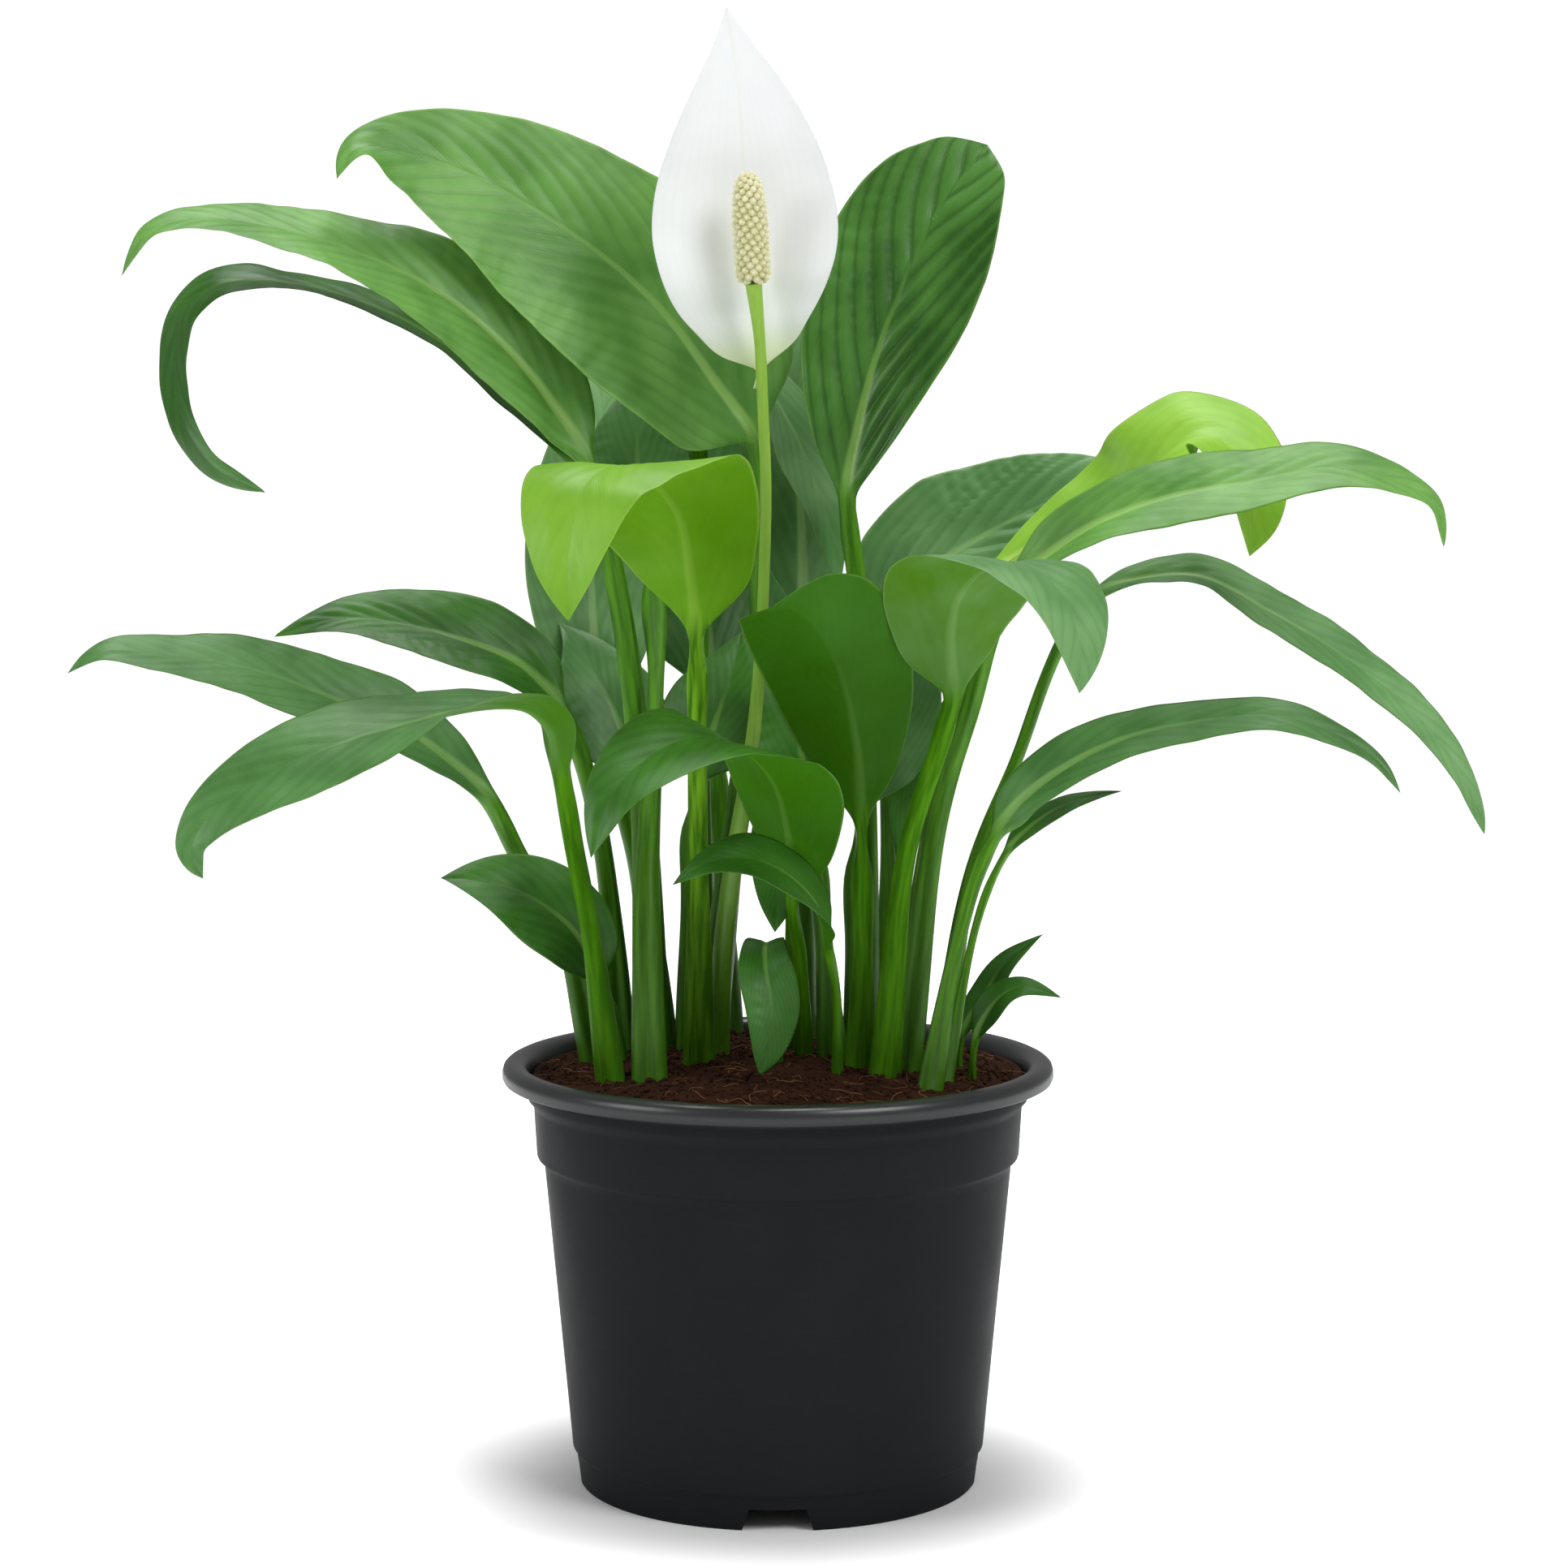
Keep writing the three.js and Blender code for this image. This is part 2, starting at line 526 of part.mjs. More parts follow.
function flowerStalkGeometry() {
  const stations = flowerStalkRings();
  const rings = stations.map(({ at, heading, radius }) => roundRing(at, heading, radius));
  const top = stations.at(-1);
  return skin(rings, stations[0].at, top.at);
}

function flowerSocket() {
  const stations = flowerStalkRings();
  const count = stations.findIndex((station) => station.at.z > SOCKET_TOP) + 1;
  const rings = stations
    .slice(0, count)
    .map(({ at, heading, radius }) => roundRing(at, heading, radius + SOCKET_GAP));
  const foot = stations[0].at.clone().addScaledVector(stations[0].heading, -FIT_GAP);
  const top = stations[count - 1];
  return skin(rings, foot, top.at.clone().addScaledVector(top.heading, SOCKET_POINT));
}

// A round ring of eight points about a centre, square to a heading.
function roundRing(centre, heading, radius) {
  const front = new THREE.Vector3(0, -1, 0);
  const normal = front.addScaledVector(heading, -front.dot(heading)).normalize();
  const side = new THREE.Vector3().crossVectors(heading, normal);
  return RING.map(({ angle }) => {
    const radians = radiansOf(angle);
    return centre
      .clone()
      .addScaledVector(side, Math.cos(radians) * radius)
      .addScaledVector(normal, Math.sin(radians) * radius);
  });
}

function spadixGeometry() {
  const heading = SPADIX_TIP.clone().sub(SPADIX_FOOT).normalize();
  const rings = [0, 0.04, 0.3, 0.6, 0.85, 0.96].map((share) => {
    const radius = SPADIX_RADIUS * Math.sqrt(1 - Math.pow(share, 5)) * (1 - SPADIX_TAPER * (1 - share));
    return roundRing(SPADIX_FOOT.clone().lerp(SPADIX_TIP, share), heading, radius);
  });
  return skin(rings, SPADIX_FOOT, SPADIX_TIP);
}

// The spathe is the flower's one white bract: a cupped blade that stands behind the spadix.
const SPATHE = {
  ...LEAF, width: 62, stalkRadius: 1.2, rise: 0.78, fall: 1.22,
  fold: [0.1, 0.45, 0.3, 0.25, 0.2], arch: [0, 0, 0],
  stalk: [[-6, -17, 230], [-6, -17, 233]],
  blade: [[-6, -16, 236], [-8, -14, 248], [-10, -12, 264], [-11, -10, 285], [-12, -11, 311],
    [-14, -14, 335], [-17, -19, 356]],
  face: [[0, -1, 0], [0, -1, 0.1], [0, -1, 0.2]],
};

// ---------------------------------------------------------------- pot and soil

// The wall's outside, from the ground up: [radius, height].
const POT_OUTSIDE = [
  [FOOT_RADIUS, 0],
  [FOOT_RADIUS + 1.2, 10.5],
  [FOOT_RADIUS + 2.6, 12.5],
  [80.5, 110],
  [80.8, 112.5],
  [83.2, 114.5],
  [84.2, 131],
  [86.2, 134.5],
  [86.8, POT_HEIGHT - 7],
];
const LIP = [
  [RIM_RADIUS - 1, POT_HEIGHT - 7],
  [RIM_RADIUS, POT_HEIGHT - 5.5],
  [RIM_RADIUS, POT_HEIGHT - 3],
  [RIM_RADIUS - 1.2, POT_HEIGHT - 0.8],
  [RIM_RADIUS - 3.6, POT_HEIGHT],
  [RIM_RADIUS - 6.4, POT_HEIGHT - 0.6],
  [RIM_RADIUS - 8.4, POT_HEIGHT - 2.6],
];
const POT_FLOOR_TOP = FLOOR_UNDERSIDE + WALL;
const INSIDE_RISE = 0.2; // each step of the wall's inside lies this much above its outside
const FLOOR_REACH = 1.4; // how much wider the floor's top is than the foot
const UNDERSIDE_REACH = 0.8; // and how much wider its underside is

function potGeometry() {
  const inside = POT_OUTSIDE.slice(2, -1)
    .map(([radius, height]) => [radius - WALL, height + INSIDE_RISE])
    .reverse();
  const body = solidOf(
    turned([
      ...POT_OUTSIDE,
      ...LIP,
      ...inside,
      [FOOT_RADIUS + FLOOR_REACH - WALL, POT_FLOOR_TOP],
      [0, POT_FLOOR_TOP],
      [0, FLOOR_UNDERSIDE],
      [FOOT_RADIUS + UNDERSIDE_REACH - WALL, FLOOR_UNDERSIDE],
      [FOOT_RADIUS - WALL, 0],
      POT_OUTSIDE[0],
    ]),
  );
  return geometryOf(body.subtract(notches()).subtract(drainHoles()));
}

// Four cuts in the foot, one on each side, let water out from under the pot.
function notches() {
  const half = NOTCH_WIDTH / 2;
  const outline = new THREE.Shape([
    new THREE.Vector2(-half, -1),
    new THREE.Vector2(half, -1),
    new THREE.Vector2(half - NOTCH_SLOPE, NOTCH_HEIGHT),
    new THREE.Vector2(NOTCH_SLOPE - half, NOTCH_HEIGHT),
  ]);
  const options = { depth: NOTCH_LENGTH, bevelEnabled: false };
  return [0, 90, 180, 270]
    .map((degrees) =>
      solidOf(
        new THREE.ExtrudeGeometry(outline, options)
          .rotateX(Math.PI / 2)
          .translate(0, NOTCH_LENGTH / 2 - FOOT_RADIUS, 0)
          .rotateZ(radiansOf(degrees)),
      ),
    )
    .reduce((all, one) => all.add(one));
}

const DRAIN_RADIUS = 4;
const DRAIN_CIRCLE = 44; // radius of the circle the holes stand on
const DRILL_LENGTH = 10;
const DRILL_SIDES = 10;

function drainHoles() {
  const drill = new THREE.CylinderGeometry(DRAIN_RADIUS, DRAIN_RADIUS, DRILL_LENGTH, DRILL_SIDES);
  drill.rotateX(Math.PI / 2);
  return [45, 135, 225, 315]
    .map(radiansOf)
    .map((turn) =>
      solidOf(
        drill
          .clone()
          .translate(DRAIN_CIRCLE * Math.cos(turn), DRAIN_CIRCLE * Math.sin(turn), POT_FLOOR_TOP),
      ),
    )
    .reduce((all, one) => all.add(one));
}

const SOIL_SHOULDER = 135.5; // height from which the soil has its full radius
const HEAP_RINGS = 5;
const HEAP_CURVE = 1.6; // above 1 rounds the heap's top

// The soil fills the pot to just under the rim and is heaped up a little round the plant.
function soilGeometry() {
  const gap = WALL + FIT_GAP;
  const floor = POT_FLOOR_TOP + FIT_GAP;
  const wall = POT_OUTSIDE.slice(2, 7).map(([radius, height]) => [
    radius - gap,
    height + INSIDE_RISE + FIT_GAP,
  ]);
  const heap = [];
  for (let ring = 0; ring <= HEAP_RINGS; ring++) {
    const share = ring / HEAP_RINGS;
    const height = THREE.MathUtils.lerp(SOIL_CROWN, SOIL_EDGE, Math.pow(share, HEAP_CURVE));
    heap.push([SOIL_RADIUS * share, height]);
  }
  const filling = solidOf(
    turned([
      [0, floor],
      [FOOT_RADIUS + FLOOR_REACH - gap, floor],
      ...wall,
      [SOIL_RADIUS, SOIL_SHOULDER],
      ...heap.reverse(),
    ]),
  );
  const sockets = [...Object.values(LEAVES).map(socketGeometry), flowerSocket()]
    .map(solidOf)
    .reduce((all, one) => all.add(one));
  return geometryOf(filling.subtract(sockets));
}

// ---------------------------------------------------------------- the whole plant

const plant = new THREE.Group();
plant.add(meshOf("nursery_pot", potGeometry(), MATERIALS.pot));
plant.add(meshOf("potting_soil", soilGeometry(), MATERIALS.soil));
plant.add(meshOf("flower_stalk", flowerStalkGeometry(), MATERIALS.stalk));
plant.add(meshOf("spathe", leafGeometry(SPATHE), MATERIALS.spathe));
plant.add(meshOf("spadix", spadixGeometry(), MATERIALS.spadix));
for (const [name, plan] of Object.entries(LEAVES)) {
  plant.add(meshOf(name, leafGeometry(plan), MATERIALS[plan.tone]));
}

export default plant;
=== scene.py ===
# %% [markdown]
# # A potted peace lily
# The object is a young peace lily in flower: arching leaves on long stalks, one white bract behind
# a bumpy cream spike, and dark potting soil in a thin black nursery pot. A measured frame holds
# every piece at its true size and place, in metres and with +Z up. The leaves and the flower are
# built from the frame's own points, and the pot and its soil from outlines of the same size, so that
# nothing drifts away from its measured place.

# %% Load the measured frame
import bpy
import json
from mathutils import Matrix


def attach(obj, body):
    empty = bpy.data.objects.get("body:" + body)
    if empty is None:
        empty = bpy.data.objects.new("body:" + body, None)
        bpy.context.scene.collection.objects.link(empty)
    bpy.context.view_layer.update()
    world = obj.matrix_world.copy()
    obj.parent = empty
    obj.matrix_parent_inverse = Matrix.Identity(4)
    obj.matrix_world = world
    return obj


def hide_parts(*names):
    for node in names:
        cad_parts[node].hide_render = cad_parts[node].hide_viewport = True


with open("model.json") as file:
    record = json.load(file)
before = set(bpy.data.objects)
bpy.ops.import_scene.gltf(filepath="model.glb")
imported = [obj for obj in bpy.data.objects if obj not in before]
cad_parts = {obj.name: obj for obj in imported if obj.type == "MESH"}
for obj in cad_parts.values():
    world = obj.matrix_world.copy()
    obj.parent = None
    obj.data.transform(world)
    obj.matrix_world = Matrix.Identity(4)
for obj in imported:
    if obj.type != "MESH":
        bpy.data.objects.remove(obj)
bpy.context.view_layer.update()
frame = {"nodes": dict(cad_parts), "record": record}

import json
import math

import bmesh
import bpy
import numpy as np

MM = 0.001
slot_of = {part["node"]: part["material_slot"] for part in frame["record"]["subparts"]}
print(len(slot_of), "measured pieces")

# %% [markdown]
# ## Colours, nodes and pieces
# Colours are picked as the eye sees them, as sRGB hex values, but a shader adds light up in linear
# values. One function turns one into the other. A second adds a node with its settings and links,
# and a third hands a finished piece over to the frame.

# %% Colour helper
def colour(hex_value):
    channels = [int(hex_value[i : i + 2], 16) / 255 for i in (1, 3, 5)]
    return [c / 12.92 if c <= 0.04045 else ((c + 0.055) / 1.055) ** 2.4 for c in channels] + [1]


print("leaf green in linear values:", [round(c, 3) for c in colour("#5a9646")])

# %% Node helper
def add(tree, kind, inputs=None, **settings):
    """Adds a node. An input is either a value or the socket that it is linked from."""
    made = tree.nodes.new(kind)
    for name, value in settings.items():
        setattr(made, name, value)
    for socket, value in (inputs or {}).items():
        if isinstance(value, bpy.types.NodeSocket):
            tree.links.new(value, made.inputs[socket])
        else:
            made.inputs[socket].default_value = value
    return made


def new_finish(name, **uniform):
    """A material with one Principled shader, and the settings that are the same all over."""
    finish = bpy.data.materials.new(name)
    finish.use_nodes = True
    tree = finish.node_tree
    tree.nodes.clear()
    shader = add(tree, "ShaderNodeBsdfPrincipled", uniform)
    add(tree, "ShaderNodeOutputMaterial", {"Surface": shader.outputs["BSDF"]})
    return finish, tree, shader


# %% Piece helper
def hand_over(piece, finish, slot, *nodes):
    piece.data.materials.clear()
    piece.data.materials.append(finish)
    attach(piece, "root")
    if nodes:
        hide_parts(*nodes)
    print(piece.name, len(piece.data.polygons), "faces")


def piece_from(name, points, faces):
    mesh = bpy.data.meshes.new(name)
    mesh.from_pydata(points, [], faces)
    mesh.polygons.foreach_set("use_smooth", [True] * len(mesh.polygons))
    piece = bpy.data.objects.new(name, mesh)
    bpy.context.scene.collection.objects.link(piece)
    return piece


def store(piece, name, values):
    """Keeps one number for each point of a piece, for its material to read."""
    attribute = piece.data.attributes.new(name, "FLOAT", "POINT")
    attribute.data.foreach_set("value", np.asarray(values, np.float32).ravel())


# %% [markdown]
# ## Reading a leaf back from the frame
# In the frame a leaf is a coarse skin over rings of eight points: left edge, over the upper side,
# right edge, and back underneath, closed by one point at the foot and one at the tip. Both end
# points meet eight edges, which no other point does. Steps counted from the foot give the rings,
# and the left edge is the only point of a ring with three neighbours in the next one. Knowing which
# point is which lets the finer skin have real veins, ribs and edges in the right places.

# %% Rings of a leaf
def rings_of(node_name):
    mesh = bmesh.new()
    mesh.from_mesh(frame["nodes"][node_name].data)
    bmesh.ops.remove_doubles(mesh, verts=mesh.verts, dist=0.01 * MM)
    ends = sorted((v for v in mesh.verts if len(v.link_edges) == 8), key=lambda v: v.co.z)
    near = {v: [e.other_vert(v) for e in v.link_edges] for v in mesh.verts}
    steps, shell, reached = {ends[0]: 0}, [ends[0]], 0
    while shell:
        reached += 1
        shell = list({other for v in shell for other in near[v] if other not in steps})
        steps.update({v: reached for v in shell})
    following = {}
    for face in mesh.faces:
        corners = list(face.verts)
        for turn in range(3):
            a, b, c = corners[turn:] + corners[:turn]
            if steps[a] == steps[b] == steps[c] - 1:
                following[a] = b
    rings = []
    top = steps[ends[-1]]
    for level in range(1, top):
        beside, count = (level + 1, 3) if level < top - 1 else (level - 1, 1)
        members = [v for v in near if steps[v] == level]
        ring = [v for v in members if sum(steps[o] == beside for o in near[v]) == count][:1]
        while len(ring) < 8:
            ring.append(following[ring[-1]])
        rings.append([list(v.co) for v in ring])
    foot, tip = np.array(ends[0].co), np.array(ends[-1].co)
    mesh.free()
    return np.array(rings), foot, tip


print("rings in the spathe:", len(rings_of("spathe")[0]))

# %% [markdown]
# ## Smooth curves through the rings
# Leaves have no corners, so the points between rings come from a natural cubic spline, which bends
# as little as a springy strip would. Round each ring a Catmull-Rom curve joins the eight points, and
# keeps the thin rounded edge of a blade.

# %% Spline along, curve around
def through(knots, values, places):
    gaps = np.diff(knots)
    slopes = np.diff(values, axis=0) / gaps[:, None]
    system = np.eye(len(knots))
    bends = np.zeros_like(values)
    for i in range(1, len(knots) - 1):
        system[i, i - 1 : i + 2] = gaps[i - 1], 2 * (gaps[i - 1] + gaps[i]), gaps[i]
        bends[i] = 6 * (slopes[i] - slopes[i - 1])
    bends = np.linalg.solve(system, bends)
    i = np.clip(np.searchsorted(knots, places, side="right") - 1, 0, len(knots) - 2)
    gap = gaps[i][:, None]
    after = (places - knots[i])[:, None]
    before = gap - after
    curved = (bends[i] * before**3 + bends[i + 1] * after**3) / (6 * gap)
    straight = (values[i] * before + values[i + 1] * after) / gap
    return curved + straight - gap * (bends[i] * before + bends[i + 1] * after) / 6


def around(rings, turns):
    """Points at the given turns, from 0 to 8, round each ring of eight."""
    low = np.floor(turns).astype(int)
    t = (turns - low)[None, :, None]
    a, b, c, d = (rings[:, (low + k) % 8] for k in (-1, 0, 1, 2))
    return b + t * (c - a + t * (2 * a - 5 * b + 4 * c - d + t * (3 * (b - c) + d - a))) / 2


def smoothstep(low, high, value):
    share = np.clip((value - low) / (high - low), 0, 1)
    return share * share * (3 - 2 * share)


def skin_faces(rings, sides):
    """Faces of a closed skin whose last two points are its foot and its tip."""
    foot, tip = rings * sides, rings * sides + 1
    faces = []
    for i in range(sides):
        j = (i + 1) % sides
        faces.append((foot, j, i))
        for low in range(0, (rings - 1) * sides, sides):
            faces.append((low + i, low + j, low + sides + j, low + sides + i))
        faces.append((foot - sides + i, foot - sides + j, tip))
    return faces


# %% [markdown]
# ## Growing a blade
# A peace lily's blade is a thin sheet that is quilted between its side veins: they leave the midrib
# at a slant, curve towards the tip, and sit in shallow valleys on the upper side. The midrib is a
# channel above and a ridge below, the margins wave a little, and the stalk is hollowed towards its
# foot, where it wraps round the next one. All of that is real relief, so it catches the light from
# every side. It could be sculpted by hand, or bent from a plane with modifiers, but then neither the
# edges nor the veins would keep to the measured rings. So the skin is worked out point by point, in
# millimetres, and the same numbers are kept on the mesh for the material: how far along and across
# each point is, and where the veins run.

# %% Columns across a blade
def turns_across(columns):
    """Turns round a ring, closer together at the midrib and the edges."""
    share = np.arange(columns + 1) / columns
    out = 2 * (0.4 * share**2 + 0.6 * share)
    upper = np.concatenate([2 - out[::-1], 2 + out[1:]])
    return np.concatenate([upper, 6 - out[::-1][1:], 6 + out[1:-1]])


print(len(turns_across(12)), "points round a blade with 12 columns to each side")

# %% Relief of a blade
VEIN_SLANT = 1.4  # how far a side vein runs towards the tip for each mm that it goes outwards
NARROW_SLANT = 22  # what a narrow blade adds to that, over half its width in mm
VEIN_CURVE = 0.7  # what the vein's curve adds to that at the edge
WAVE_MM, WAVE_MORE = 44, 26  # a wave of the margin is 44 to 70 mm long
WAVE_TURN = 6.3  # one wave as an angle


def veins_at(side_mm, share, run_mm, spacing, half_mm):
    """The side veins' count at a point: whole numbers lie on a vein. Narrow blades slant them more."""
    reach = np.abs(side_mm) * (VEIN_SLANT + NARROW_SLANT / half_mm + VEIN_CURVE * share**2)
    return (run_mm - reach) / spacing + 0.5 * (side_mm > 0)


def relief(side_mm, share, run_mm, along, rib, veins, shape, chance):
    """How far the sheet is pushed towards its upper side, in mm."""
    blade = smoothstep(0, 0.14, along)
    puffs = np.abs(np.sin(np.pi * veins)) ** 0.8 - 0.6
    quilt = shape["quilt"] * puffs * smoothstep(1, 3.5, rib) * (1 - 0.7 * smoothstep(0.8, 1, share))
    phase = np.where(side_mm > 0, chance[0], chance[1]) * WAVE_TURN
    beat = WAVE_TURN * run_mm / (WAVE_MM + WAVE_MORE * chance[2])
    wave = np.sin(beat + phase) + 0.5 * np.sin(1.73 * beat + 2 * phase)
    wave = wave + 0.25 * np.sin(3.9 * beat + 5 * phase)
    wave = 0.8 * shape["wave"] * share**2 * wave
    swell = 0.5 * np.sin(run_mm / 17 + 6 * chance[3]) * np.sin(side_mm / 9 + 6 * chance[4])
    return blade * (quilt * (1 - along**4) + (wave + swell) * (1 - 0.6 * along**3))


# %% Blade and stalk in one skin
STALK_STEP = 4 * MM
UV_PER_METRE = 10


def grow(name, node_name, shape, seed):
    rings, foot, tip = rings_of(node_name)
    chance = np.random.default_rng(seed).random(5)
    middle = np.vstack([(rings[:, 2] + rings[:, 6]) / 2, tip])
    knots = np.concatenate([[0], np.cumsum(np.linalg.norm(np.diff(middle, axis=0), axis=1))])
    width = np.linalg.norm(rings[:, 4] - rings[:, 0], axis=1)
    depth = np.linalg.norm(rings[:, 2] - rings[:, 6], axis=1)
    base = np.nonzero(width < 1.03 * depth)[0][-1]
    start, length = knots[base], knots[-1] - knots[base]
    stalk_places = np.arange(0, start, STALK_STEP)
    blade_places = start + length * np.linspace(0, 1, int(length / shape["step"] / MM) + 12)[:-1]
    places = np.concatenate([stalk_places, blade_places])
    points = np.vstack([rings.reshape(-1, 24), np.tile(tip, 8)])
    fine = through(knots, points, places).reshape(-1, 8, 3)

    columns = int(np.clip(width.max() / 2 / MM / shape["step"], 8, 28))
    turns = turns_across(columns)
    skin = around(fine, turns)
    normal = fine[:, 2] - fine[:, 6]
    normal /= np.linalg.norm(normal, axis=1)[:, None]
    across = fine[:, 4] - fine[:, 0]
    half = np.linalg.norm(across, axis=1)[:, None] / 2
    across /= 2 * half
    centre = (fine[:, 2] + fine[:, 6]) / 2
    side = np.einsum("ijk,ik->ij", skin - centre[:, None], across)
    left = -np.einsum("ik,ik->i", fine[:, 0] - centre, across)[:, None]
    right = np.einsum("ik,ik->i", fine[:, 4] - centre, across)[:, None]
    share = np.clip(np.abs(side) / np.where(side < 0, left, right), 0, 1)
    along = np.broadcast_to(((places - start) / length)[:, None], side.shape)
    stalk = np.broadcast_to(np.minimum(places / start - 1, 0)[:, None], side.shape)
    upper = np.broadcast_to(np.where(turns < 4, 1.0, 0.0) * np.where(turns % 4 == 0, 0.5, 1), side.shape)
    grown = np.clip(along, 0, 1)
    radius = width[base] / 2
    rib_half = 0.3 * MM + 0.5 * radius * (1 - grown) ** 2
    rib = np.abs(side) / rib_half
    run_mm = (places[:, None] - start) / MM
    veins = veins_at(side / MM, share, run_mm, shape["spacing"], width.max() / 2 / MM)

    push = relief(side / MM, share, run_mm, grown, rib, veins, shape, chance) * MM
    blade = smoothstep(0, 0.12, along)
    channel = np.exp(-(rib**2)) * blade * np.where(upper > 0.5, 0.4, 0.75) * rib_half * 0.7
    hollow = np.exp(-(((turns - 2) / 0.55) ** 2)) * radius * (1 - blade)
    hollow = hollow * (0.15 + 0.45 * smoothstep(-0.35, -0.75, stalk))
    skin = skin + ((push - channel - hollow)[..., None]) * normal[:, None]

    points = np.vstack([skin.reshape(-1, 3), foot, tip])
    piece = piece_from(name, points.tolist(), skin_faces(len(places), len(turns)))
    ends = {"along": (-1, 1), "across": (0, 0), "rib": (0, 0), "veins": (0, 0), "upper": (0.5, 0.5)}
    values = {"along": np.where(along > 0, along, stalk), "across": np.sign(side) * share,
              "rib": rib, "veins": veins, "upper": upper}
    for key, pair in ends.items():
        store(piece, key, np.concatenate([values[key].ravel(), pair]))
    flat = np.vstack([np.stack([side, np.broadcast_to(places[:, None], side.shape)], -1).reshape(-1, 2),
                      [[0, 0], [0, knots[-1]]]]) * UV_PER_METRE
    corner = np.zeros(len(piece.data.loops), int)
    piece.data.loops.foreach_get("vertex_index", corner)
    piece.data.uv_layers.new(name="leaf").data.foreach_set("uv", flat[corner].ravel())
    return piece


# %% [markdown]
# ## Leaf finish
# A living leaf is a translucent green film under a thin wax skin. The wax gives a satin gloss with
# an index of refraction near 1.45, softer underneath. The green is never even: the puffs between the
# veins are lightened with a painted highlight and the valleys deepened with painted shade, it is pale
# along the midrib, and a warmer green down the stalk, whose foot is darkened with painted shade. The
# very edge gets a thin painted highlight. It could be painted by hand, but here each of those follows
# the numbers kept on the mesh, so that they stay on the veins of every leaf.

# %% Leaf material
EASED = {"interpolation_type": "SMOOTHSTEP"}
TINT = {"data_type": "RGBA"}


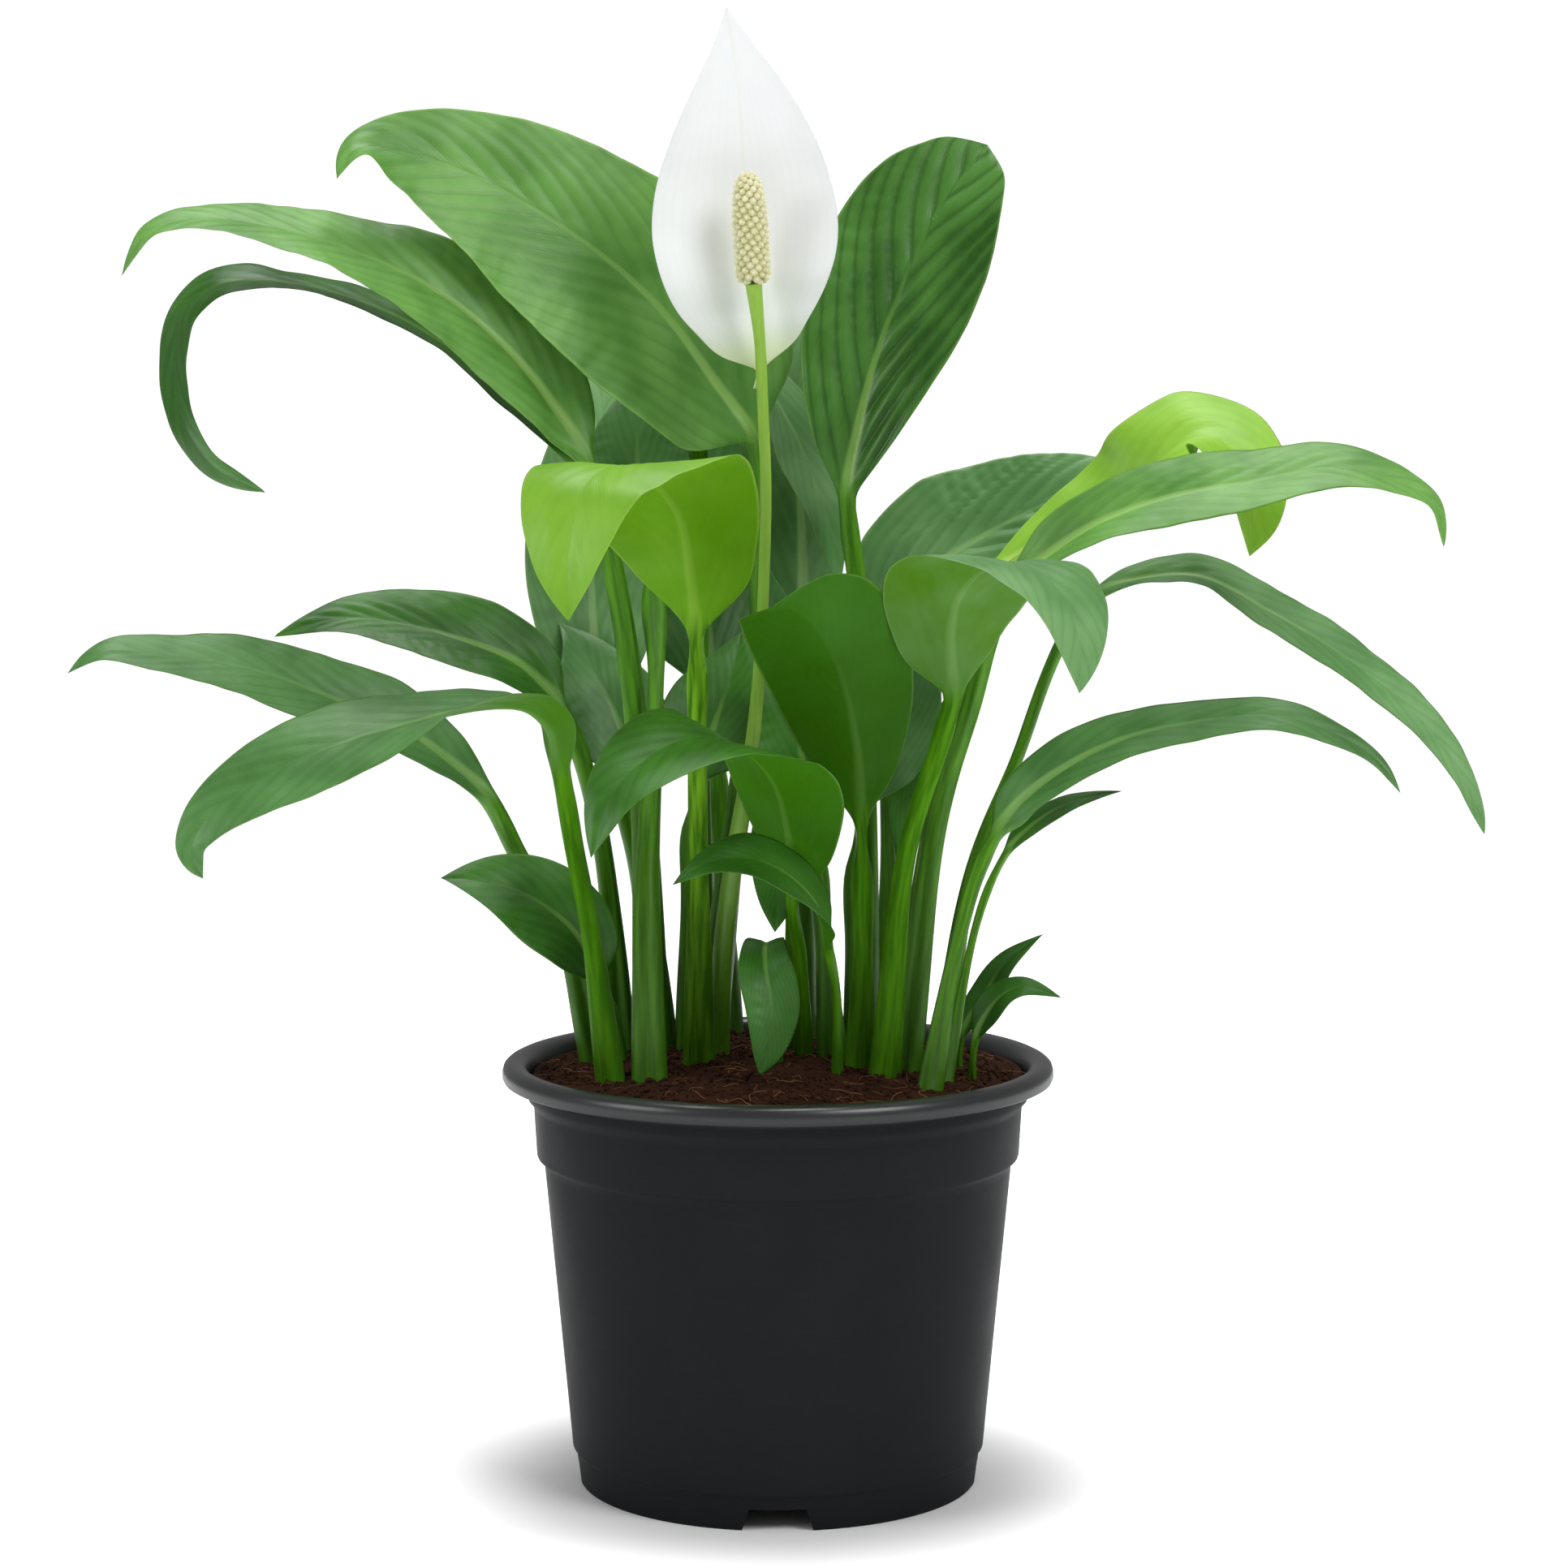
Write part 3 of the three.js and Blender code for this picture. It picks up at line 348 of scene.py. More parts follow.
# The last argument sets how strongly the veins are drawn underneath, and how much painted shade and painted
# highlight the quilting gets on top.
def leaf_finish(name, light, deep, under, rib_tone, stalk_tone="#518c0e", gloss=0.42,
                vein_lines_and_painted_shading=0.32):
    finish, tree, shader = new_finish(name, IOR=1.45)
    along, across, rib, veins, upper = (
        add(tree, "ShaderNodeAttribute", attribute_name=key).outputs["Fac"]
        for key in ("along", "across", "rib", "veins", "upper")
    )
    place = add(tree, "ShaderNodeTexCoord").outputs["Object"]
    sheet = add(tree, "ShaderNodeUVMap", uv_map="leaf").outputs["UV"]

    # Cloudy patches some 30 mm across, and streaks under 2 mm wide that run the length of the leaf.
    patches = add(tree, "ShaderNodeTexNoise", {"Vector": place, "Scale": 33, "Detail": 3}).outputs["Fac"]
    stretched = add(tree, "ShaderNodeMapping", {"Vector": sheet, "Scale": (60, 4, 1)}).outputs[0]
    streaks = add(tree, "ShaderNodeTexNoise", {"Vector": stretched, "Scale": 1, "Detail": 4}).outputs["Fac"]
    # Distance from the nearest side vein: 0 on it, 0.5 midway between two.
    gap = add(tree, "ShaderNodeMath", {0: veins, 1: 0.5}, operation="PINGPONG").outputs[0]
    finer = add(tree, "ShaderNodeMath", {0: veins, 1: 7}, operation="MULTIPLY").outputs[0]
    fine_gap = add(tree, "ShaderNodeMath", {0: finer, 1: 0.5}, operation="PINGPONG").outputs[0]
    edge = add(tree, "ShaderNodeMath", {0: across}, operation="ABSOLUTE").outputs[0]

    # The upper side is patchy, with painted shade in the valleys along the veins and a painted highlight on
    # the puffs between.
    cloudy = add(tree, "ShaderNodeMapRange", {0: patches, 1: 0.32, 2: 0.68}, **EASED).outputs[0]
    painted_valley_shade = add(tree, "ShaderNodeMapRange", {0: gap, 1: 0.0, 2: 0.24, 3: vein_lines_and_painted_shading, 4: 0.0},
                 **EASED).outputs[0]
    painted_puff_highlight = add(tree, "ShaderNodeMapRange", {0: gap, 1: 0.2, 2: 0.5, 3: 0.0, 4: 0.6 * vein_lines_and_painted_shading},
               **EASED).outputs[0]
    top = add(tree, "ShaderNodeMix", {0: cloudy, 6: colour(deep), 7: colour(light)}, **TINT).outputs[2]
    top = add(tree, "ShaderNodeMix", {0: painted_valley_shade, 6: top, 7: colour(deep)}, **TINT).outputs[2]
    top = add(tree, "ShaderNodeMix", {0: painted_puff_highlight, 6: top, 7: colour(light)}, **TINT).outputs[2]
    # The under side is a plainer green, with the veins drawn faintly.
    seam = add(tree, "ShaderNodeMapRange", {0: gap, 1: 0.0, 2: 0.1, 3: 0.5 * vein_lines_and_painted_shading, 4: 0.0},
               **EASED).outputs[0]
    pale = add(tree, "ShaderNodeMapRange", {0: patches, 1: 0.35, 2: 0.7, 3: 0.0, 4: 0.4}, **EASED).outputs[0]
    bottom = add(tree, "ShaderNodeMix", {0: seam, 6: colour(under), 7: colour(deep)}, **TINT).outputs[2]
    bottom = add(tree, "ShaderNodeMix", {0: pale, 6: bottom, 7: colour(light)}, **TINT).outputs[2]
    blade = add(tree, "ShaderNodeMix", {0: upper, 6: bottom, 7: top}, **TINT).outputs[2]
    # The midrib is pale, less so underneath and towards the tip. The very edge is lightened too, a painted
    # highlight along the margin.
    near = add(tree, "ShaderNodeMapRange", {0: rib, 1: 0.6, 2: 1.6, 3: 0.65, 4: 0.0}, **EASED).outputs[0]
    low = add(tree, "ShaderNodeMapRange", {0: along, 1: 0.1, 2: 0.75, 3: 1.0, 4: 0.0}, **EASED).outputs[0]
    above = add(tree, "ShaderNodeMapRange", {0: upper, 1: 0.0, 2: 1.0, 3: 0.3, 4: 1.0}, **EASED).outputs[0]
    ribbed = add(tree, "ShaderNodeMath", {0: near, 1: low}, operation="MULTIPLY").outputs[0]
    ribbed = add(tree, "ShaderNodeMath", {0: ribbed, 1: above}, operation="MULTIPLY").outputs[0]
    painted_edge_highlight = add(tree, "ShaderNodeMapRange", {0: edge, 1: 0.955, 2: 0.995, 3: 0.0, 4: 0.35},
                 **EASED).outputs[0]
    blade = add(tree, "ShaderNodeMix", {0: ribbed, 6: blade, 7: colour(rib_tone)}, **TINT).outputs[2]
    blade = add(tree, "ShaderNodeMix", {0: painted_edge_highlight, 6: blade, 7: colour(rib_tone)}, **TINT).outputs[2]
    # The stalk is streaky, and darkens towards its foot with painted shade near the soil.
    streaky = add(tree, "ShaderNodeMapRange", {0: streaks, 1: 0.35, 2: 0.65}, **EASED).outputs[0]
    painted_foot_shade = add(tree, "ShaderNodeMapRange", {0: along, 1: -0.75, 2: -0.2, 3: 0.45, 4: 0.0},
                 **EASED).outputs[0]
    joined = add(tree, "ShaderNodeMapRange", {0: along, 1: -0.03, 2: 0.07}, **EASED).outputs[0]
    stem = add(tree, "ShaderNodeMix", {0: streaky, 6: colour(stalk_tone), 7: colour("#376a08")},
               **TINT).outputs[2]
    stem = add(tree, "ShaderNodeMix", {0: painted_foot_shade, 6: stem, 7: colour("#33590a")}, **TINT).outputs[2]
    body = add(tree, "ShaderNodeMix", {0: joined, 6: stem, 7: blade}, **TINT).outputs[2]
    tree.links.new(body, shader.inputs["Base Color"])

    # The gloss is a little streaky, and softer underneath.
    satin = add(tree, "ShaderNodeMapRange", {0: streaks, 1: 0.2, 2: 0.8, 3: gloss - 0.09, 4: gloss + 0.04},
                **EASED).outputs[0]
    below = add(tree, "ShaderNodeMath", {0: 1.0, 1: upper}, operation="SUBTRACT").outputs[0]
    softer = add(tree, "ShaderNodeMath", {0: below, 1: 0.12}, operation="MULTIPLY").outputs[0]
    satin = add(tree, "ShaderNodeMath", {0: satin, 1: softer}, operation="ADD").outputs[0]
    tree.links.new(satin, shader.inputs["Roughness"])
    # The wax is thinnest underneath, and a little thinner on the stalk than on the blade.
    wax = add(tree, "ShaderNodeMapRange", {0: along, 1: -0.1, 2: 0.1, 3: 0.05, 4: 0.1}, **EASED).outputs[0]
    waxed = add(tree, "ShaderNodeMath", {0: upper, 1: 0.33}, operation="MULTIPLY").outputs[0]
    wax = add(tree, "ShaderNodeMath", {0: wax, 1: waxed}, operation="ADD").outputs[0]
    tree.links.new(wax, shader.inputs["Specular IOR Level"])
    # Fine veins between the side veins, some 1 mm apart, and the grain of the skin.
    fine_veins = add(tree, "ShaderNodeMapRange", {0: fine_gap, 1: 0.0, 2: 0.25}, **EASED).outputs[0]
    fine_veins = add(tree, "ShaderNodeMath", {0: fine_veins, 1: 0.5}, operation="MULTIPLY").outputs[0]
    grain = add(tree, "ShaderNodeMath", {0: streaks, 1: 0.8}, operation="MULTIPLY").outputs[0]
    height = add(tree, "ShaderNodeMath", {0: fine_veins, 1: grain}, operation="ADD").outputs[0]
    bump = add(tree, "ShaderNodeBump", {"Height": height, "Strength": 0.35, "Distance": 0.12 * MM})
    tree.links.new(bump.outputs[0], shader.inputs["Normal"])
    return finish


# The grey and pale finishes carry the wax's satin sheen in their colour as a painted sheen, and the pale one
# also lightens leaves that stand in shade, a painted light.
FINISHES = {
    "fresh": leaf_finish("leaf_fresh_green", "#6a9f48", "#4b802e", "#497d0f", "#98c264"),
    "deep": leaf_finish("leaf_deep_green", "#3d7720", "#265510", "#346904", "#7eab50", gloss=0.36),
    "grey": leaf_finish("leaf_grey_green_painted_sheen", "#568847", "#3d6c2f", "#41740a", "#8ab464", gloss=0.4),
    "pale": leaf_finish("leaf_pale_green_painted_light", "#6f9c60", "#4f7f43", "#4c7c12", "#9cc07a", gloss=0.4),
    "quilted": leaf_finish("leaf_quilted_green", "#487c2d", "#25510e", "#3a6e08", "#86b054", gloss=0.34,
                           vein_lines_and_painted_shading=0.6),
    "lime": leaf_finish("leaf_lime_green", "#78ac2a", "#66991a", "#5b920a", "#aed05c", "#6c9f20",
                        vein_lines_and_painted_shading=0.15),
    "spring": leaf_finish("leaf_spring_green", "#90c23c", "#76aa26", "#6fa318", "#b4d464", "#6c9f20",
                          vein_lines_and_painted_shading=0.2),
}
print("leaf finishes:", ", ".join(FINISHES))

# %% [markdown]
# ## The leaves
# Broad leaves have strong quilting, with veins some 15 mm apart along the midrib. Narrow ones are
# smoother. Each leaf is listed with its finish, its quilt height, the spacing of its side veins and
# the height of its margin's waves, all in mm, and gets its own seed, so no two wave alike.

# %% Leaf list
LEAVES = {
    "leaf_left_top_broad": ("fresh", 0.55, 15, 0.9),
    "leaf_left_upper_long": ("fresh", 0.6, 14, 0.8),
    "leaf_left_strap_hooked": ("deep", 0.45, 17, 0.7),
    "leaf_right_top_upright": ("quilted", 1.7, 17, 0.8),
    "leaf_back_upright": ("pale", 0.7, 14, 0.8),
    "leaf_back_arching": ("pale", 0.35, 13, 0.7),
    "leaf_left_lime_folded": ("lime", 0.25, 13, 0.6),
    "leaf_left_mid_short": ("deep", 0.6, 13, 0.6),
    "leaf_left_low_long": ("grey", 0.5, 14, 0.7),
    "leaf_left_front_drooping": ("grey", 0.35, 14, 0.7),
    "leaf_left_low_small": ("deep", 0.25, 12, 0.5),
    "leaf_front_centre_folded": ("deep", 0.25, 13, 0.5),
    "leaf_front_small_arching": ("deep", 0.2, 7, 0.4),
    "leaf_front_hanging": ("deep", 0.2, 6, 0.4),
    "leaf_front_dark_hanging": ("deep", 0.2, 6, 0.4),
    "leaf_front_right_upright": ("deep", 0.3, 9, 0.6),
    "leaf_right_back_broad": ("pale", 1.5, 14, 0.8),
    "leaf_right_lime_folded": ("spring", 0.3, 13, 0.6),
    "leaf_right_long": ("fresh", 0.5, 15, 0.6),
    "leaf_right_front_folded": ("pale", 0.3, 14, 0.5),
    "leaf_right_drooping": ("pale", 0.45, 15, 0.6),
    "leaf_right_low_strap": ("grey", 0.45, 15, 0.5),
    "leaf_right_low_small": ("deep", 0.15, 6, 0.3),
    "leaf_shoot_upper": ("deep", 0.1, 5, 0.2),
    "leaf_shoot_lower": ("deep", 0.1, 5, 0.2),
    "leaf_back_left_broad": ("pale", 0.45, 11, 0.8),
    "leaf_back_left_low": ("grey", 0.4, 9, 0.8),
    "leaf_back_centre_broad": ("grey", 0.5, 10, 0.9),
    "leaf_back_centre_low": ("deep", 0.35, 8, 0.6),
    "leaf_back_right_low": ("deep", 0.3, 8, 0.5),
    "leaf_back_right_narrow": ("deep", 0.25, 7, 0.5),
    "leaf_right_centre_flap": ("grey", 0.3, 8, 0.6),
    "leaf_left_back_short": ("grey", 0.4, 9, 0.7),
}

LEAF_STEP = 1.4  # mm between the points of a blade
for seed, (node_name, (tone, quilt, spacing, wave)) in enumerate(LEAVES.items()):
    shape = {"quilt": quilt, "spacing": spacing, "wave": wave, "step": LEAF_STEP}
    leaf = grow(node_name.replace("leaf_", "blade_"), node_name, shape, seed)
    hand_over(leaf, FINISHES[tone], slot_of[node_name], node_name)

# %% [markdown]
# ## The spathe
# The white spathe is a leaf too, turned into a bract: the same skin, smoother, with faint veins that
# run from the base to the tip. It is soft and lets light through, so its white is never pure: a
# trace of green stays along the midrib and at the base, and the shadows are pale grey.

# %% Spathe finish
def spathe_finish():
    finish, tree, shader = new_finish(
        "spathe_white_bract",
        **{"IOR": 1.42, "Roughness": 0.5, "Subsurface Weight": 0.25, "Subsurface Scale": 2 * MM,
           "Subsurface Radius": (1.0, 1.0, 0.8)},
    )
    along = add(tree, "ShaderNodeAttribute", attribute_name="along").outputs["Fac"]
    rib = add(tree, "ShaderNodeAttribute", attribute_name="rib").outputs["Fac"]
    across = add(tree, "ShaderNodeAttribute", attribute_name="across").outputs["Fac"]
    # Nine faint veins to each side of the midrib fan out across the bract.
    lines = add(tree, "ShaderNodeMath", {0: across, 1: 9.0}, operation="MULTIPLY").outputs[0]
    lines = add(tree, "ShaderNodeMath", {0: lines, 1: 0.5}, operation="PINGPONG").outputs[0]
    vein = add(tree, "ShaderNodeMapRange", {0: lines, 1: 0.0, 2: 0.2, 3: 0.12, 4: 0.0}).outputs[0]
    near_rib = add(tree, "ShaderNodeMapRange", {0: rib, 1: 0.2, 2: 2.5, 3: 0.35, 4: 0.0}).outputs[0]
    base = add(tree, "ShaderNodeMapRange", {0: along, 1: 0.0, 2: 0.16, 3: 0.85, 4: 0.0},
               **EASED).outputs[0]
    white = add(tree, "ShaderNodeMix", {0: vein, 6: colour("#eff1f2"), 7: colour("#dfe4e0")},
                **TINT).outputs[2]
    white = add(tree, "ShaderNodeMix", {0: near_rib, 6: white, 7: colour("#e6ecdc")}, **TINT).outputs[2]
    white = add(tree, "ShaderNodeMix", {0: base, 6: white, 7: colour("#c6d69c")}, **TINT).outputs[2]
    tree.links.new(white, shader.inputs["Base Color"])
    bump = add(tree, "ShaderNodeBump", {"Height": lines, "Strength": 0.25, "Distance": 0.15 * MM})
    tree.links.new(bump.outputs[0], shader.inputs["Normal"])
    return finish


SPATHE_SHAPE = {"quilt": 0.0, "spacing": 12, "wave": 0.5, "step": 1.2}
SPATHE_SEED = 101
spathe = grow("spathe_bract", "spathe", SPATHE_SHAPE, SPATHE_SEED)
hand_over(spathe, spathe_finish(), slot_of["spathe"], "spathe")

# %% [markdown]
# ## The flower's stalk
# A smooth round stalk, yellow-green and paler near the flower. A curve with a round bevel would do for
# an even one. This one tapers, so it is a skin over the frame's rings, and keeps every gentle bend.

# %% Stalk finish and stalk
def stalk_finish():
    finish, tree, shader = new_finish("flower_stalk_green", **{"IOR": 1.45, "Roughness": 0.4})
    place = add(tree, "ShaderNodeTexCoord").outputs["Object"]
    # Streaks 1 mm wide and some 15 mm long run up the stalk.
    stretched = add(tree, "ShaderNodeMapping", {"Vector": place, "Scale": (900, 900, 60)}).outputs[0]
    streaks = add(tree, "ShaderNodeTexNoise", {"Vector": stretched, "Scale": 1, "Detail": 3}).outputs["Fac"]
    height = add(tree, "ShaderNodeSeparateXYZ", {0: place}).outputs["Z"]
    rise = add(tree, "ShaderNodeMapRange", {0: height, 1: 0.16, 2: 0.36}).outputs[0]
    low = add(tree, "ShaderNodeMix", {0: streaks, 6: colour("#44770f"), 7: colour("#649724")},
              **TINT).outputs[2]
    high = add(tree, "ShaderNodeMix", {0: streaks, 6: colour("#7fae30"), 7: colour("#a0c750")},
               **TINT).outputs[2]
    green = add(tree, "ShaderNodeMix", {0: rise, 6: low, 7: high}, **TINT).outputs[2]
    tree.links.new(green, shader.inputs["Base Color"])
    bump = add(tree, "ShaderNodeBump", {"Height": streaks, "Strength": 0.3, "Distance": 0.1 * MM})
    tree.links.new(bump.outputs[0], shader.inputs["Normal"])
    return finish


rings, foot, tip = rings_of("flower_stalk")
middle = rings.mean(axis=1)
knots = np.concatenate([[0], np.cumsum(np.linalg.norm(np.diff(middle, axis=0), axis=1))])
places = np.arange(0, knots[-1], 2 * MM)
fine = through(knots, rings.reshape(-1, 24), np.append(places, knots[-1])).reshape(-1, 8, 3)
skin = around(fine, np.arange(0, 8, 1 / 3))
points = np.vstack([skin.reshape(-1, 3), foot, tip])
stalk = piece_from("flower_stem", points.tolist(), skin_faces(len(skin), skin.shape[1]))
hand_over(stalk, stalk_finish(), slot_of["flower_stalk"], "flower_stalk")

# %% [markdown]
# ## The spadix
# The spike is packed with tiny flowers. Each is a low dome with a pale knob in its middle, and they
# follow a spiral in which the next flower is always 137.5 degrees further round, as on a sunflower.
# One flower is modelled from two twenty-sided balls, so that 200 copies stay light, and copied along
# the spiral, a little different each time.

# %% Spadix core
_, foot, tip = rings_of("spadix")
length = np.linalg.norm(tip - foot)
axis = (tip - foot) / length
CORE_RADIUS = 5.1 * MM
bpy.ops.object.select_all(action="DESELECT")
bpy.ops.mesh.primitive_uv_sphere_add(segments=32, ring_count=20, radius=1, location=(0, 0, 0))
core = bpy.context.object
unit = np.array([v.co for v in core.data.vertices])


def spike(share):
    """The spike's radius at a share of its length: nearly a cylinder, with a rounded tip."""
    rounded = CORE_RADIUS * np.sqrt(np.clip(1 - share**5, 0, 1))
    return rounded * (0.93 + 0.07 * share) * smoothstep(-0.04, 0.05, share)


round_x = np.cross(axis, [0, 1, 0])
round_x /= np.linalg.norm(round_x)
round_y = np.cross(axis, round_x)
share = (1 - np.arccos(np.clip(unit[:, 2], -1, 1)) / np.pi) * 0.999
turn = np.arctan2(unit[:, 1], unit[:, 0])
core_points = (foot + np.outer(share * length, axis) + np.outer(spike(share) * np.cos(turn), round_x)
               + np.outer(spike(share) * np.sin(turn), round_y))
core_faces = [list(p.vertices) for p in core.data.polygons]
bpy.data.objects.remove(core)
print("spike", round(length / MM, 1), "mm long")

# %% One floret, copied along the spiral
def ico(subdivisions):
    bpy.ops.object.select_all(action="DESELECT")
    bpy.ops.mesh.primitive_ico_sphere_add(subdivisions=subdivisions, radius=1)
    ball = bpy.context.object
    points = np.array([v.co for v in ball.data.vertices])
    faces = np.array([list(p.vertices) for p in ball.data.polygons])
    bpy.data.objects.remove(ball)
    return points, faces


def gather(name, parts):
    """One piece from many small shapes: lists of points, faces and one number for the material."""
    points, faces, values, offset = [], [], [], 0
    for part_points, part_faces, value in parts:
        points.append(part_points)
        faces += [[offset + i for i in face] for face in part_faces]
        values.append(np.full(len(part_points), value))
        offset += len(part_points)
    piece = piece_from(name, np.vstack(points).tolist(), faces)
    store(piece, "shade", np.concatenate(values))
    return piece


FLORETS, SPIRAL_TURN = 200, math.radians(137.508)
FLORET_RADIUS, FLORET_MORE = 1.3, 0.2  # mm: the least, and how much a floret may add to it
KNOB_SIZE, KNOB_OUT = 0.36, 0.78  # both against the size of the floret
SPIKE_COVER = 0.985  # the share of the spike that the spiral covers
dome, dome_faces = ico(1)
knob, knob_faces = dome * [1, 1, 1.15], dome_faces
chance = np.random.default_rng(7)
parts = [(core_points, core_faces, 0.0)]
for k in range(FLORETS):
    share = SPIKE_COVER * ((k + 0.5) / FLORETS)
    turn = SPIRAL_TURN * k
    out = math.cos(turn) * round_x + math.sin(turn) * round_y
    lean = smoothstep(0.86, 1.0, share)
    face_out = out * (1 - 0.8 * lean) + axis * lean
    face_out /= np.linalg.norm(face_out)
    beside = np.cross(axis, out)
    upward = np.cross(beside, face_out)
    size = (FLORET_RADIUS + FLORET_MORE * chance.random()) * MM * (1 - 0.2 * lean)
    at = foot + axis * share * length + out * spike(np.array(share))
    frame_axes = np.stack([beside * size, upward * size, face_out * size * 0.95])
    bumpy = dome * (1 + 0.1 * (chance.random((len(dome), 1)) - 0.5))
    parts.append((at + bumpy @ frame_axes, dome_faces, 0.35 + 0.4 * chance.random()))
    parts.append((at + face_out * size * KNOB_OUT + knob @ frame_axes * KNOB_SIZE, knob_faces, 1.0))
spadix = gather("spadix_florets", parts)

# %% Spadix finish
finish, tree, shader = new_finish("spadix_cream_florets", **{"IOR": 1.45, "Roughness": 0.62})
shade = add(tree, "ShaderNodeAttribute", attribute_name="shade").outputs["Fac"]
place = add(tree, "ShaderNodeTexCoord").outputs["Object"]
# Grains of pollen some 0.4 mm across.
grains = add(tree, "ShaderNodeTexNoise", {"Vector": place, "Scale": 2500, "Detail": 2}).outputs["Fac"]
mixed = add(tree, "ShaderNodeMix", {0: shade, 6: colour("#a8a964"), 7: colour("#fbf8e6")},
            **TINT).outputs[2]
mixed = add(tree, "ShaderNodeMix", {0: grains, 6: mixed, 7: colour("#d9d49c")}, **TINT).outputs[2]
tree.links.new(mixed, shader.inputs["Base Color"])
bump = add(tree, "ShaderNodeBump", {"Height": grains, "Strength": 0.4, "Distance": 0.2 * MM})
tree.links.new(bump.outputs[0], shader.inputs["Normal"])
hand_over(spadix, finish, slot_of["spadix"], "spadix")

# %% [markdown]
# ## The nursery pot
# The pot is one thin moulding of black polypropylene: a tapered wall, a collar below a rolled rim, and
# a raised floor with notches in its foot so that water runs out. It is round, so it is drawn the way
# it would be turned: a circle of edges is extruded and resized from point to point of one outline.

# %% Pot outline and shell
SIDES = 144
# [radius, height] in mm: out from under the floor, down the foot's inside, up the wall, over the
# rim, and down the inside to the floor.
POT_OUTLINE = [
    [20, 8.5], [67.8, 8.5], [67.0, 0.6], [67.5, 0], [68.5, 0], [68.9, 0.5], [70, 10.5], [70.5, 11.8],
    [71.4, 12.6], [76, 62], [80.5, 109.6], [80.7, 112], [81.2, 112.9], [83.0, 114.1], [83.3, 115],
    [84.2, 131], [84.6, 132.6], [86.2, 134.3], [86.6, 135.6], [86.8, 139.6], [87.4, 140.1], [93.6, 140.1],
    [94.5, 140.6], [95, 141.7], [95, 143.8], [94.5, 145.4], [93.6, 146.3], [92.4, 146.9], [91.2, 147],
    [89.6, 146.9], [88.2, 146.4], [87.2, 145.5], [86.4, 144.2], [85.2, 139.8], [84.4, 134.6], [82.6, 133],
    [82.2, 131.2], [81.3, 115.4], [78.9, 113.2], [78.6, 110], [69.6, 13], [68.4, 10.3], [20, 10.3],
]


def turned(name, outline):
    """A shell turned from an outline, closed in the middle of both of its ends."""
    bpy.ops.object.select_all(action="DESELECT")
    radius, height = outline[0]
    bpy.ops.mesh.primitive_circle_add(vertices=SIDES, radius=radius * MM, location=(0, 0, height * MM))
    piece = bpy.context.object
    piece.name = name
    bpy.ops.object.transform_apply(location=True, rotation=False, scale=False)
    bpy.ops.object.mode_set(mode="EDIT")
    bpy.ops.mesh.select_all(action="SELECT")
    bpy.ops.mesh.extrude_region_move()
    bpy.ops.mesh.merge(type="CENTER")
    bpy.ops.mesh.select_all(action="DESELECT")
    points = bmesh.from_edit_mesh(piece.data)
    for vert in points.verts:
        vert.select = vert.co.xy.length > 1 * MM
    points.select_flush(True)
    bmesh.update_edit_mesh(piece.data)
    for (r0, z0), (r1, z1) in zip(outline, outline[1:]):
        bpy.ops.mesh.extrude_region_move(TRANSFORM_OT_translate={"value": (0, 0, (z1 - z0) * MM)})
        bpy.ops.transform.resize(value=(r1 / r0, r1 / r0, 1), center_override=(0, 0, z1 * MM))
    bpy.ops.mesh.extrude_region_move()
    bpy.ops.mesh.merge(type="CENTER")
    bpy.ops.mesh.select_all(action="SELECT")
    bpy.ops.mesh.normals_make_consistent(inside=False)
    bpy.ops.object.mode_set(mode="OBJECT")
    return piece


pot = turned("pot_shell", POT_OUTLINE)
print("pot shell", len(pot.data.polygons), "faces, size", [round(d / MM, 1) for d in pot.dimensions])

# %% [markdown]
# ### Notches and drain holes
# Four notches, a little narrower at the top, open the foot on each side, and four holes drain the
# floor. Cutters stand where the holes are and the Boolean modifier takes them away, which keeps
# the foot's edges as sharp as the mould leaves them.

# %% Cut the foot and the floor
def cut(piece, cutter):
    tool = piece.modifiers.new("cut", "BOOLEAN")
    tool.operation, tool.solver, tool.object = "DIFFERENCE", "EXACT", cutter
    bpy.ops.object.select_all(action="DESELECT")
    bpy.context.view_layer.objects.active = piece
    piece.select_set(True)
    bpy.ops.object.modifier_apply(modifier=tool.name)
    bpy.data.objects.remove(cutter)


NOTCH_SIZE, NOTCH_MIDDLE = (25 * MM, 20 * MM, 9.5 * MM), 2.75 * MM
NOTCH_REACH = 66 * MM  # from the pot's axis
NOTCH_TOP = 0.76  # its width at the top, as a share of the width below
HOLE_RADIUS, HOLE_DEPTH, HOLE_MIDDLE = 4 * MM, 6 * MM, 9.4 * MM
HOLE_REACH, HOLE_TURN = 44 * MM, 0.785  # midway between two notches, an eighth of a turn on
for quarter in range(4):
    turn = math.radians(90 * quarter)
    bpy.ops.object.select_all(action="DESELECT")
    bpy.ops.mesh.primitive_cube_add(size=1, scale=NOTCH_SIZE, location=(0, 0, NOTCH_MIDDLE))
    bpy.ops.object.transform_apply(location=True, rotation=True, scale=True)
    notch = bpy.context.object
    for vert in notch.data.vertices:
        if vert.co.z > NOTCH_MIDDLE:
            vert.co.x *= NOTCH_TOP
        vert.co.y -= NOTCH_REACH
    notch.rotation_euler[2] = turn
    cut(pot, notch)
    bpy.ops.object.select_all(action="DESELECT")
    hole_turn = turn + HOLE_TURN
    hole_at = (HOLE_REACH * math.cos(hole_turn), HOLE_REACH * math.sin(hole_turn), HOLE_MIDDLE)
    bpy.ops.mesh.primitive_cylinder_add(vertices=32, radius=HOLE_RADIUS, depth=HOLE_DEPTH,
                                        location=hole_at)
    cut(pot, bpy.context.object)
bpy.ops.object.select_all(action="DESELECT")
bpy.context.view_layer.objects.active = pot
pot.select_set(True)
